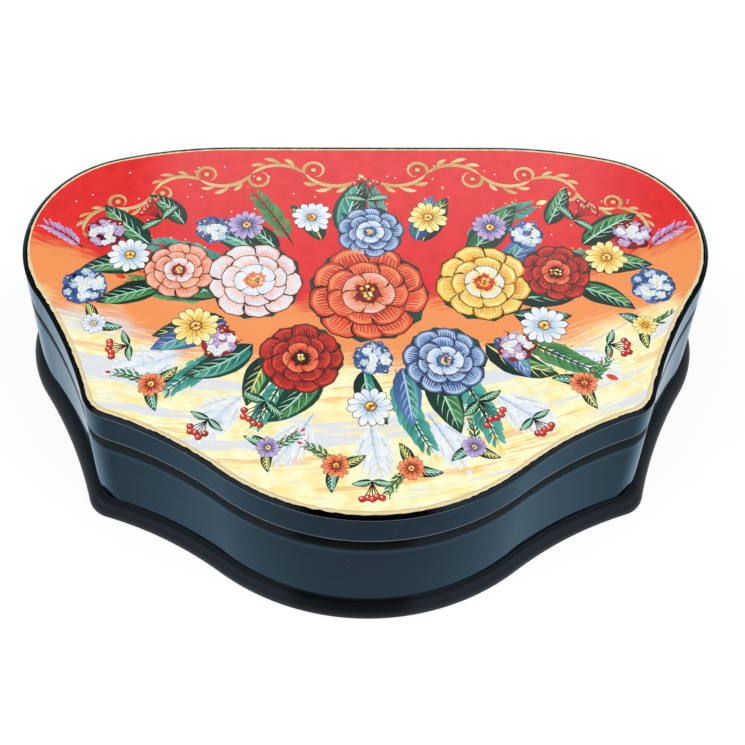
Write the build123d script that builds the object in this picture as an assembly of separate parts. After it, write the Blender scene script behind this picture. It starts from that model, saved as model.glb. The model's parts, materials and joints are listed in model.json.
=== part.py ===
"""Lacquered papier-mache casket with a shaped outline, a plinth and a lid on a pinned knuckle hinge.

Millimetres, +Z up, +Y towards the hinge. The origin is the middle of the footprint, on the table.

The plan is drawn with a compass. On each side a shoulder arc leads from the straight back edge into
the round ear, a hollow flank runs from the ear to the front corner, and a hollow front runs from the
corner to the round front lobe. The walls and the lid share that plan. The plinth's is drawn with the
same compass openings for its hollows, and its front corners reach further out.
"""

import math
import os

from build123d import *

# Plan of the lid and body, measured on the outer face of their walls
LID_WIDTH = 210.0
LID_DEPTH = 139.0
BACK_STRAIGHT = 82.0
SHOULDER_ARC_RADIUS = 138.0
EAR_RADIUS = 36.5
CORNER_RADIUS = 10.5
CORNER_SPREAD = 144.8
CORNER_FROM_BACK = 94.8
FLANK_HOLLOW_RADIUS = 153.0
FRONT_HOLLOW_RADIUS = 115.0
LOBE_RADIUS = 68.0

# Plinth board that carries the body
PLINTH_THICKNESS = 5.4
PLINTH_OVERHANG = 2.9
PLINTH_CORNER_OUT = 5.2
PLINTH_CORNER_FORWARD = 3.6
PLINTH_CORNER_RADIUS = 8.4
PLINTH_TOP_ROUND = 4.0
PLINTH_FOOT_CHAMFER = 0.6

# Body wall and the collar glued inside it, which rises into the lid
BODY_WALL_HEIGHT = 35.0
BODY_WALL = 4.5
BODY_TOP_ROUND = 6.0
BODY_TOP_ROUND_RISE = 5.0
COLLAR_WALL = 2.0
COLLAR_LIP = 4.0
COLLAR_CHAMFER = 0.6
GLUE_LINE = 0.1

# Lid rim and the board glued on it
SEAM_GAP = 0.3
LID_RIM_HEIGHT = 8.8
LID_BOARD_THICKNESS = 3.5
LID_BEVEL_WIDTH = 1.2
LID_BEVEL_DROP = 1.0
LID_FOOT_CHAMFER = 0.3
LIP_CLEARANCE = 0.4

# Hinge: knuckles let into both back walls, on one wire pin
PIN_DIAMETER = 1.8
PIN_CLEARANCE = 0.05
KNUCKLE_RADIUS = 2.05
KNUCKLE_BURIED = 0.1
KNUCKLE_RUN_CLEARANCE = 0.3
BODY_KNUCKLE_LENGTH = 12.0
LID_KNUCKLE_LENGTH = 14.0
KNUCKLE_GAP = 0.25
TANG_THICKNESS = 2.0
TANG_LENGTH = 7.5
STOP_BEVEL_ANGLE = 51.0

# Heights and the hinge axis that follow from the sizes above
PLINTH_TOP = PLINTH_THICKNESS
BODY_TOP = PLINTH_TOP + BODY_WALL_HEIGHT
LID_BOTTOM = BODY_TOP + SEAM_GAP
LID_RIM_TOP = LID_BOTTOM + LID_RIM_HEIGHT
LID_TOP = LID_RIM_TOP + LID_BOARD_THICKNESS
BACK_Y = LID_DEPTH / 2
HINGE_Y = BACK_Y - KNUCKLE_RADIUS - KNUCKLE_BURIED
HINGE_Z = (BODY_TOP + LID_BOTTOM) / 2
COLLAR_OUTSIDE = -(BODY_WALL + GLUE_LINE)
LID_INSIDE = COLLAR_OUTSIDE + LIP_CLEARANCE

# Front corners of a plan: spread of their centres, distance in front of the walls' back, and radius
WALL_CORNERS = (CORNER_SPREAD, CORNER_FROM_BACK, CORNER_RADIUS)
PLINTH_CORNERS = (
    CORNER_SPREAD + 2 * PLINTH_CORNER_OUT,
    CORNER_FROM_BACK + PLINTH_CORNER_FORWARD,
    PLINTH_CORNER_RADIUS,
)

KNUCKLES = (
    ("body_knuckle_left", BODY_KNUCKLE_LENGTH),
    ("lid_knuckle_left", LID_KNUCKLE_LENGTH),
    ("body_knuckle_middle", BODY_KNUCKLE_LENGTH),
    ("lid_knuckle_right", LID_KNUCKLE_LENGTH),
    ("body_knuckle_right", BODY_KNUCKLE_LENGTH),
)
HINGE_LENGTH = sum(length for _, length in KNUCKLES) + KNUCKLE_GAP * (len(KNUCKLES) - 1)


def bearing(start, end):
    """Angle of the direction from one point to another, in radians."""
    return math.atan2(end[1] - start[1], end[0] - start[0])


def outer_meeting(first, first_reach, second, second_reach):
    """Point at the given distances from two centres, on the left of the way from first to second."""
    span = math.dist(first, second)
    along = (span**2 + first_reach**2 - second_reach**2) / (2 * span)
    aside = math.sqrt(first_reach**2 - along**2)
    way = bearing(first, second)
    x = first[0] + along * math.cos(way) - aside * math.sin(way)
    y = first[1] + along * math.sin(way) + aside * math.cos(way)
    return x, y


def compass_centres(overhang, corners):
    """Centres of the right half's arcs, in order from the back edge to the front lobe.

    The ear and the lobe stand out past the walls by the overhang, and the hollows are drawn to touch
    them and the corner.
    """
    spread, from_back, corner_radius = corners
    shoulder = (BACK_STRAIGHT / 2, BACK_Y - SHOULDER_ARC_RADIUS)
    ear_x = LID_WIDTH / 2 - EAR_RADIUS
    ear_rise = math.sqrt((SHOULDER_ARC_RADIUS - EAR_RADIUS) ** 2 - (ear_x - shoulder[0]) ** 2)
    ear = (ear_x, shoulder[1] + ear_rise)
    corner = (spread / 2, BACK_Y - from_back)
    lobe = (0.0, LOBE_RADIUS - LID_DEPTH / 2)
    flank = outer_meeting(
        ear,
        EAR_RADIUS + overhang + FLANK_HOLLOW_RADIUS,
        corner,
        corner_radius + FLANK_HOLLOW_RADIUS,
    )
    front = outer_meeting(
        corner,
        corner_radius + FRONT_HOLLOW_RADIUS,
        lobe,
        LOBE_RADIUS + overhang + FRONT_HOLLOW_RADIUS,
    )
    return shoulder, ear, flank, corner, front, lobe


def arc(centre, radius, start, end):
    """Arc about a centre between two angles in radians, the short way round."""
    sweep = math.remainder(end - start, 2 * math.pi)
    points = []
    for share in (0.0, 0.5, 1.0):
        angle = start + sweep * share
        points.append((centre[0] + radius * math.cos(angle), centre[1] + radius * math.sin(angle)))
    return ThreePointArc(*points)


def plan(offset=0.0, overhang=0.0, corners=WALL_CORNERS):
    """A plan as a face, with every edge moved outwards by offset."""
    shoulder, ear, flank, corner, front, lobe = compass_centres(overhang, corners)
    out = overhang + offset
    flank_radius = FLANK_HOLLOW_RADIUS - offset
    front_radius = FRONT_HOLLOW_RADIUS - offset
    corner_radius = corners[-1] + offset
    right_side = [
        arc(shoulder, SHOULDER_ARC_RADIUS + out, math.pi / 2, bearing(shoulder, ear)),
        arc(ear, EAR_RADIUS + out, bearing(shoulder, ear), bearing(ear, flank)),
        arc(flank, flank_radius, bearing(flank, ear), bearing(flank, corner)),
        arc(corner, corner_radius, bearing(corner, flank), bearing(corner, front)),
        arc(front, front_radius, bearing(front, corner), bearing(front, lobe)),
    ]
    left_side = [mirror(edge, about=Plane.YZ) for edge in right_side]
    front_edge = arc(lobe, LOBE_RADIUS + out, bearing(lobe, front), math.pi - bearing(lobe, front))
    back_edge = Line((-BACK_STRAIGHT / 2, BACK_Y + out), (BACK_STRAIGHT / 2, BACK_Y + out))
    return make_face([back_edge, *right_side, front_edge, *left_side])


def slab(face, bottom, top):
    """A plan face made into a plate between two heights."""
    return extrude(Pos(0, 0, bottom) * face, amount=top - bottom)


def edges_at(solid, height):
    """Edges of a solid that lie flat at one height."""
    return solid.edges().filter_by_position(Axis.Z, height, height)


def stop_wedge(rises):
    """Wedge outside the hinge axis that lets the lid swing and then stops it.

    It lies above the horizontal through the axis if rises is true, and below it otherwise.
    """
    reach = LID_DEPTH / 2
    height = reach * math.tan(math.radians(STOP_BEVEL_ANGLE))
    tip = (HINGE_Y, HINGE_Z)
    level = (HINGE_Y + reach, HINGE_Z)
    slanted = (HINGE_Y + reach, HINGE_Z + (height if rises else -height))
    face = make_face(Polyline(tip, level, slanted, close=True))
    return extrude(Plane.YZ * face, amount=LID_WIDTH / 2, both=True)


def hinge_cylinder(radius, length, middle=0.0):
    """Cylinder on the hinge axis."""
    return Pos(middle, HINGE_Y, HINGE_Z) * Rot(0, 90, 0) * Cylinder(radius, length)


def tang(length, middle, rises, spare=0.0):
    """Tongue of a knuckle, which goes up into the lid rim or down into the body wall."""
    depth = TANG_LENGTH + spare
    block = Box(length + 2 * spare, TANG_THICKNESS + 2 * spare, depth)
    return Pos(middle, HINGE_Y, HINGE_Z + (depth if rises else -depth) / 2) * block


def knuckle_places():
    """Name, length and middle of each knuckle, from left to right."""
    places = []
    left = -HINGE_LENGTH / 2
    for name, length in KNUCKLES:
        places.append((name, length, left + length / 2))
        left += length + KNUCKLE_GAP
    return places


def cut_for_hinge(wall, rises):
    """A back wall with its stop bevel, the room for the knuckles and the mortises of its own ones."""
    wall -= stop_wedge(rises)
    wall -= hinge_cylinder(
        KNUCKLE_RADIUS + KNUCKLE_RUN_CLEARANCE, HINGE_LENGTH + 2 * KNUCKLE_RUN_CLEARANCE
    )
    for name, length, middle in knuckle_places():
        if name.startswith("lid") == rises:
            wall -= tang(length, middle, rises, GLUE_LINE)
    return wall


def plinth_board():
    """Bottom board, wider than the body, with a rounded edge."""
    board = slab(plan(0.0, PLINTH_OVERHANG, PLINTH_CORNERS), 0, PLINTH_TOP)
    board = fillet(edges_at(board, PLINTH_TOP), PLINTH_TOP_ROUND)
    return chamfer(edges_at(board, 0), PLINTH_FOOT_CHAMFER)


def body_wall():
    """Wound wall of the body, whose top edge is rounded in under the lid."""
    uncut_top = BODY_TOP - BODY_TOP_ROUND_RISE + BODY_TOP_ROUND
    block = slab(plan(), PLINTH_TOP, uncut_top)
    block = fillet(edges_at(block, uncut_top), BODY_TOP_ROUND)
    block -= slab(plan(BODY_WALL), BODY_TOP, uncut_top)
    block -= slab(plan(-BODY_WALL), PLINTH_TOP, uncut_top)
    return cut_for_hinge(block, rises=False)


def inner_collar():
    """Collar inside the body wall. Its lip stands up into the lid and keeps it in place."""
    top = BODY_TOP + COLLAR_LIP
    ring = slab(plan(COLLAR_OUTSIDE), PLINTH_TOP, top)
    ring -= slab(plan(COLLAR_OUTSIDE - COLLAR_WALL), PLINTH_TOP, top)
    return chamfer(edges_at(ring, top), COLLAR_CHAMFER)


def lid_rim():
    """Wound rim of the lid."""
    block = slab(plan(), LID_BOTTOM, LID_RIM_TOP)
    block = chamfer(edges_at(block, LID_BOTTOM), LID_FOOT_CHAMFER)
    block -= slab(plan(LID_INSIDE), LID_BOTTOM, LID_RIM_TOP)
    return cut_for_hinge(block, rises=True)


def lid_board():
    """Top board of the lid, bevelled round its edge."""
    board = slab(plan(), LID_RIM_TOP, LID_TOP)
    top_face = board.faces().sort_by(Axis.Z)[-1]
    return chamfer(top_face.edges(), LID_BEVEL_DROP, LID_BEVEL_WIDTH, reference=top_face)


def knuckle(name, length, middle):
    """One knuckle with its tang and the bore for the pin."""
    piece = hinge_cylinder(KNUCKLE_RADIUS, length, middle)
    piece += tang(length, middle, name.startswith("lid"))
    return piece - hinge_cylinder(PIN_DIAMETER / 2 + PIN_CLEARANCE, length, middle)


def pieces():
    """Every piece of the casket by name."""
    made = {
        "plinth_board": plinth_board(),
        "body_wall": body_wall(),
        "inner_collar": inner_collar(),
        "lid_rim": lid_rim(),
        "lid_board": lid_board(),
        "hinge_pin": hinge_cylinder(PIN_DIAMETER / 2, HINGE_LENGTH),
    }
    for name, length, middle in knuckle_places():
        made[name] = knuckle(name, length, middle)
    return made


os.makedirs("parts", exist_ok=True)
for name, piece in pieces().items():
    export_step(piece, f"parts/{name}.step")
    print(name, round(piece.volume), "mm3")
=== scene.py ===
"""Looks of a lacquered papier-mache casket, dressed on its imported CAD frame.

Everything is in metres in the frame of the CAD model: +Z up, +Y towards the hinge, and the origin in the
middle of the footprint. The lid carries a folk flower painting in thin layers of paint under lacquer.
"""
import json
import logging
import math
import random
from collections.abc import Mapping, Sequence
from dataclasses import dataclass, field, replace
from enum import Enum
from functools import reduce
from operator import mul
from typing import Any, ClassVar

import bmesh
import bpy
import numpy as np
from mathutils import Matrix, Vector


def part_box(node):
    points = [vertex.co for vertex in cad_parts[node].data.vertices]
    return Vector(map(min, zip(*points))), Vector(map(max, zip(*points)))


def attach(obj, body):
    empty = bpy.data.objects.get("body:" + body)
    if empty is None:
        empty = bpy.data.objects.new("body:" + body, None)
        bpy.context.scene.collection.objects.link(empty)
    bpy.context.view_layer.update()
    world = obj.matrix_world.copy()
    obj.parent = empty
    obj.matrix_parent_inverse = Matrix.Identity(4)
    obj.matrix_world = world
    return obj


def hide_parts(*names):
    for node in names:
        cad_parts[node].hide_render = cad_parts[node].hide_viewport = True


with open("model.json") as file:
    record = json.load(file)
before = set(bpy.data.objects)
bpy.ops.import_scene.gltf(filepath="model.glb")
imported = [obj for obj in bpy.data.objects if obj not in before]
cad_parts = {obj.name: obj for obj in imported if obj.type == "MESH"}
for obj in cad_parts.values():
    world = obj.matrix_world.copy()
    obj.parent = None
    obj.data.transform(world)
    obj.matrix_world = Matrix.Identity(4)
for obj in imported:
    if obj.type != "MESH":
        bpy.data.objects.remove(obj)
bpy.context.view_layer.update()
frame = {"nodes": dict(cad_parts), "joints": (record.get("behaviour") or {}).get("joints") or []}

LOG = logging.getLogger("casket")
MM = 0.001
CRISP_DEG = 40.0

Point = tuple[float, float]
Place = tuple[float, float, float]
Colour = tuple[float, float, float]
Mesh = bpy.types.Mesh
Object = bpy.types.Object
Material = bpy.types.Material


class Body(str, Enum):
    """The two rigid bodies of the casket."""

    BOX = "box"
    LID = "lid"


class Slot(str, Enum):
    """Material slots of the record."""

    BLACK = "black_lacquer"
    RED = "red_lacquer"
    PAINTED = "painted_lid"


# Node trees


class Wire:
    """A node's output that takes part in arithmetic and adds Math nodes as it goes."""

    def __init__(self, graph: "Graph", socket: bpy.types.NodeSocket) -> None:
        """Keep the graph and the socket."""
        self.graph = graph
        self.socket = socket

    def other(self, output: Any) -> "Wire":
        """Another output of the same node."""
        return Wire(self.graph, self.socket.node.outputs[output])

    def _math(self, operation: str, first: Any, second: Any = 0.0) -> "Wire":
        """Add one Math node.

        Args:
            operation: The Math node's operation.
            first: First operand, a wire or a number.
            second: Second operand, a wire or a number.

        Returns:
            The node's result.
        """
        return self.graph.node("ShaderNodeMath", {"operation": operation}, {0: first, 1: second})

    def __add__(self, other: Any) -> "Wire":
        """Sum."""
        return self._math("ADD", self, other)

    def __radd__(self, other: Any) -> "Wire":
        """Reflected sum."""
        return self._math("ADD", other, self)

    def __sub__(self, other: Any) -> "Wire":
        """Difference."""
        return self._math("SUBTRACT", self, other)

    def __rsub__(self, other: Any) -> "Wire":
        """Reflected difference."""
        return self._math("SUBTRACT", other, self)

    def __mul__(self, other: Any) -> "Wire":
        """Product."""
        return self._math("MULTIPLY", self, other)

    def __truediv__(self, other: Any) -> "Wire":
        """Quotient."""
        return self._math("DIVIDE", self, other)

    def __pow__(self, other: Any) -> "Wire":
        """Power."""
        return self._math("POWER", self, other)

    def __abs__(self) -> "Wire":
        """Size without sign."""
        return self._math("ABSOLUTE", self)

    def __gt__(self, other: Any) -> "Wire":
        """One where this is the greater, and zero elsewhere."""
        return self._math("GREATER_THAN", self, other)

    def sin(self) -> "Wire":
        """Sine of an angle in radians."""
        return self._math("SINE", self)

    def cos(self) -> "Wire":
        """Cosine of an angle in radians."""
        return self._math("COSINE", self)

    def at_least(self, low: float) -> "Wire":
        """This value, or low where it is below that."""
        return self._math("MAXIMUM", self, low)

    def step(self, low: float, high: float) -> "Wire":
        """Soft step from zero at low to one at high.

        Args:
            low: Where the step starts.
            high: Where the step ends. It may be below low, for a step down.

        Returns:
            The step, held between zero and one.
        """
        return self.graph.node(
            "ShaderNodeMapRange",
            {"interpolation_type": "SMOOTHSTEP"},
            {"Value": self, "From Min": low, "From Max": high, "To Min": 0.0, "To Max": 1.0},
        )


class Graph:
    """A node tree, shader or geometry, that grows by one call for each node."""

    def __init__(self, tree: bpy.types.NodeTree) -> None:
        """Keep the tree."""
        self.tree = tree

    def feed(self, socket: bpy.types.NodeSocket, value: Any) -> None:
        """Link a wire, or several, to a socket, or set its value.

        Args:
            socket: The input to feed.
            value: A wire, a list of wires for a socket with many links, or a plain value.
        """
        for one in value if isinstance(value, list) else [value]:
            if isinstance(one, Wire):
                self.tree.links.new(one.socket, socket)
            elif socket.type == "RGBA" and len(one) == 3:
                socket.default_value = (*one, 1.0)
            else:
                socket.default_value = one

    def node(
        self,
        kind: str,
        settings: Mapping[str, Any] | None = None,
        inputs: Mapping[Any, Any] | None = None,
        output: Any = 0,
    ) -> Wire:
        """Add a node.

        Args:
            kind: The node's type.
            settings: Its properties, set first.
            inputs: Values or wires by the socket's name or number.
            output: The name or number of the output to return.

        Returns:
            That output.
        """
        made = self.tree.nodes.new(kind)
        for name, value in (settings or {}).items():
            setattr(made, name, value)
        for key, value in (inputs or {}).items():
            self.feed(made.inputs[key], value)
        return Wire(self, made.outputs[output])

    def mix(self, share: Any, first: Any, second: Any) -> Wire:
        """Mix two colours.

        Args:
            share: How much of the second colour shows.
            first: Colour at share zero.
            second: Colour at share one.

        Returns:
            The mixed colour.
        """
        return self.node(
            "ShaderNodeMix", {"data_type": "RGBA"}, {0: share, 6: first, 7: second}, output=2
        )

    def noise(self, place: Any, scale: float, detail: float = 2.0) -> Wire:
        """Noise between zero and one.

        Args:
            place: Where it is read.
            scale: Features per unit of place.
            detail: Number of finer layers.

        Returns:
            The noise value.
        """
        inputs = {"Vector": place, "Scale": scale, "Detail": detail}
        return self.node("ShaderNodeTexNoise", None, inputs, "Fac" if self.geometric else 0)

    @property
    def geometric(self) -> bool:
        """Whether this is a geometry tree."""
        return self.tree.type == "GEOMETRY"

    def named(self, name: str, kind: str = "FLOAT") -> Wire:
        """Read an attribute of the mesh.

        Args:
            name: The attribute.
            kind: Its data type.

        Returns:
            Its value.
        """
        if self.geometric:
            return self.node("GeometryNodeInputNamedAttribute", {"data_type": kind}, {"Name": name})
        return self.node("ShaderNodeAttribute", {"attribute_name": name}, output="Fac")

    def apart(self, vector: Any) -> tuple[Wire, Wire, Wire]:
        """Split a vector into its three numbers."""
        first = self.node("ShaderNodeSeparateXYZ", None, {0: vector})
        return first, first.other(1), first.other(2)

    def together(self, x: Any, y: Any, z: Any) -> Wire:
        """Join three numbers into a vector."""
        return self.node("ShaderNodeCombineXYZ", None, {0: x, 1: y, 2: z})

    def vector(self, operation: str, *operands: Any) -> Wire:
        """Work out one operation on vectors."""
        return self.node("ShaderNodeVectorMath", {"operation": operation}, dict(enumerate(operands)))


class Shader(Graph):
    """The node tree of a new material with one Principled shader."""

    def __init__(self, name: str) -> None:
        """Make the material and keep its shader node.

        Args:
            name: Name of the material.
        """
        self.material = bpy.data.materials.new(name)
        self.material.use_nodes = True
        super().__init__(self.material.node_tree)
        self.surface = self.tree.nodes["Principled BSDF"]

    def place_mm(self, stretch: Place = (1.0, 1.0, 1.0)) -> Wire:
        """Object coordinates in millimetres.

        Args:
            stretch: Factors for the three axes, for patterns that run one way.

        Returns:
            The coordinates.
        """
        place = self.node("ShaderNodeTexCoord", output="Object")
        return self.vector("MULTIPLY", place, tuple(factor / MM for factor in stretch))

    def set(self, **values: Any) -> None:
        """Feed the shader's sockets, named with underscores for spaces."""
        for name, value in values.items():
            self.feed(self.surface.inputs[name.replace("_", " ")], value)

    def bump(self, height: Wire, depth_mm: float) -> Wire:
        """Normal of a surface with small relief.

        Args:
            height: Relief between zero and one.
            depth_mm: How far the relief rises.

        Returns:
            The bent normal.
        """
        inputs = {"Strength": 1.0, "Distance": depth_mm * MM, "Height": height}
        return self.node("ShaderNodeBump", None, inputs)


class Builder(Graph):
    """A Geometry Nodes tree with named inputs that is run once and leaves a plain mesh."""

    KINDS = {
        "Geometry": "NodeSocketGeometry",
        "Finish": "NodeSocketMaterial",
        "Profile": "NodeSocketObject",
        "Steps": "NodeSocketInt",
    }

    def __init__(self, name: str, *inputs: str) -> None:
        """Make the tree.

        Args:
            name: Name of the tree.
            inputs: Names of its inputs after the geometry. Unknown ones are numbers.
        """
        super().__init__(bpy.data.node_groups.new(name, "GeometryNodeTree"))
        face = self.tree.interface
        face.new_socket("Geometry", in_out="OUTPUT", socket_type="NodeSocketGeometry")
        for title in ("Geometry", *inputs):
            kind = self.KINDS.get(title, "NodeSocketFloat")
            face.new_socket(title, in_out="INPUT", socket_type=kind)
        self.entry = self.tree.nodes.new("NodeGroupInput")

    def given(self, name: str) -> Wire:
        """One of the tree's inputs."""
        return Wire(self, self.entry.outputs[name])

    def store(self, geometry: Wire, name: str, value: Wire, kind: str = "FLOAT_VECTOR") -> Wire:
        """Keep a value on the points under a name.

        Args:
            geometry: What carries the value.
            name: The attribute.
            value: What is kept.
            kind: Its data type.

        Returns:
            The geometry with the attribute.
        """
        inputs = {"Geometry": geometry, "Name": name, "Value": value}
        return self.node("GeometryNodeStoreNamedAttribute", {"data_type": kind}, inputs)

    def end(self, geometry: Wire) -> None:
        """Close the tree with Realize Instances and Set Material.

        Args:
            geometry: What the tree has built.
        """
        real = self.node("GeometryNodeRealizeInstances", None, {0: geometry})
        dressed = self.node(
            "GeometryNodeSetMaterial", None, {"Geometry": real, "Material": self.given("Finish")}
        )
        self.feed(self.tree.nodes.new("NodeGroupOutput").inputs[0], dressed)

    def run(self, source: Object, name: str, **values: Any) -> Mesh:
        """Run the tree on an object and take that object away.

        Args:
            source: Object whose geometry goes in.
            name: Name of the mesh that comes out.
            values: The tree's inputs by name.

        Returns:
            The plain mesh.
        """
        modifier = source.modifiers.new("Build", "NODES")
        modifier.node_group = self.tree
        for item in self.tree.interface.items_tree:
            if item.in_out == "INPUT" and item.name in values:
                modifier[item.identifier] = values[item.name]
        mesh = plain_mesh(source, name)
        bpy.data.objects.remove(source)
        return mesh


# Meshes and pieces


def plain_mesh(source: Object, name: str) -> Mesh:
    """Mesh of an object with its modifiers worked out.

    Args:
        source: The object.
        name: Name of the new mesh.

    Returns:
        A mesh that depends on nothing.
    """
    graph = bpy.context.evaluated_depsgraph_get()
    mesh = bpy.data.meshes.new_from_object(
        source.evaluated_get(graph), preserve_all_data_layers=True, depsgraph=graph
    )
    mesh.name = name
    return mesh


def linked(name: str, data: bpy.types.ID) -> Object:
    """New object for some data, in the scene.

    Args:
        name: Its name.
        data: Mesh, curve, light or camera.

    Returns:
        The object.
    """
    made = bpy.data.objects.new(name, data)
    bpy.context.scene.collection.objects.link(made)
    return made


def poly_curve(name: str, points: Sequence[Sequence[float]], closed: bool) -> Object:
    """Curve object through points.

    Args:
        name: Its name.
        points: Two or three numbers each.
        closed: Whether the last point joins the first.

    Returns:
        The curve object.
    """
    curve = bpy.data.curves.new(name, "CURVE")
    curve.dimensions = "3D"
    spline = curve.splines.new("POLY")
    spline.points.add(len(points) - 1)
    for knot, point in zip(spline.points, points):
        knot.co = (*point, 0.0, 1.0) if len(point) == 2 else (*point, 1.0)
    spline.use_cyclic_u = closed
    return linked(name, curve)


def finished(mesh: Mesh, smooth: bool = True) -> Mesh:
    """Close a mesh's open ends and turn its faces outwards.

    Args:
        mesh: The mesh, changed in place.
        smooth: Whether it is shaded smooth, apart from crisp edges, or left faceted.

    Returns:
        The same mesh.
    """
    work = bmesh.new()
    work.from_mesh(mesh)
    bmesh.ops.holes_fill(work, edges=[edge for edge in work.edges if edge.is_boundary], sides=0)
    bmesh.ops.recalc_face_normals(work, faces=work.faces)
    work.to_mesh(mesh)
    work.free()
    if smooth:
        mesh.polygons.foreach_set("use_smooth", [True] * len(mesh.polygons))
        mesh.set_sharp_from_angle(angle=math.radians(CRISP_DEG))
    return mesh


def prism(name: str, outline_yz: Sequence[Point], half_length: float) -> Object:
    """Solid with one outline in Y and Z, drawn out both ways along X.

    Args:
        name: Its name.
        outline_yz: Corners of the outline.
        half_length: How far it reaches to each side.

    Returns:
        The object.
    """
    work = bmesh.new()
    corners = [work.verts.new((-half_length, y, z)) for y, z in outline_yz]
    face = work.faces.new(corners)
    moved = bmesh.ops.extrude_face_region(work, geom=[face])["geom"]
    verts = [item for item in moved if isinstance(item, bmesh.types.BMVert)]
    bmesh.ops.translate(work, verts=verts, vec=(2 * half_length, 0, 0))
    bmesh.ops.recalc_face_normals(work, faces=work.faces)
    mesh = bpy.data.meshes.new(name)
    work.to_mesh(mesh)
    work.free()
    return linked(name, mesh)


def carved(mesh: Mesh, cutters: Sequence[Object]) -> Mesh:
    """A mesh with cutters taken out of it.

    Args:
        mesh: The mesh to cut.
        cutters: Closed objects, which are gone afterwards.

    Returns:
        The cut mesh.
    """
    block = linked("Block", mesh)
    for cutter in cutters:
        cut = block.modifiers.new("Cut", "BOOLEAN")
        cut.operation = "DIFFERENCE"
        cut.solver = "EXACT"
        cut.object = cutter
    made = plain_mesh(block, mesh.name)
    for spent in (block, *cutters):
        bpy.data.objects.remove(spent)
    return finished(made)


def add_piece(name: str, mesh: Mesh, body: Body, replaces: str | None = None) -> Object:
    """Put a finished mesh on its body.

    Args:
        name: Name of the piece.
        mesh: Its mesh, at its place.
        body: The body that it moves with.
        replaces: The CAD node that it stands for.

    Returns:
        The piece.
    """
    piece = linked(name, mesh)
    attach(piece, body.value)
    if replaces:
        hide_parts(replaces)
    LOG.info("%s: %d faces on %s", name, len(mesh.polygons), body.value)
    return piece


# Plan and profiles


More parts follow.
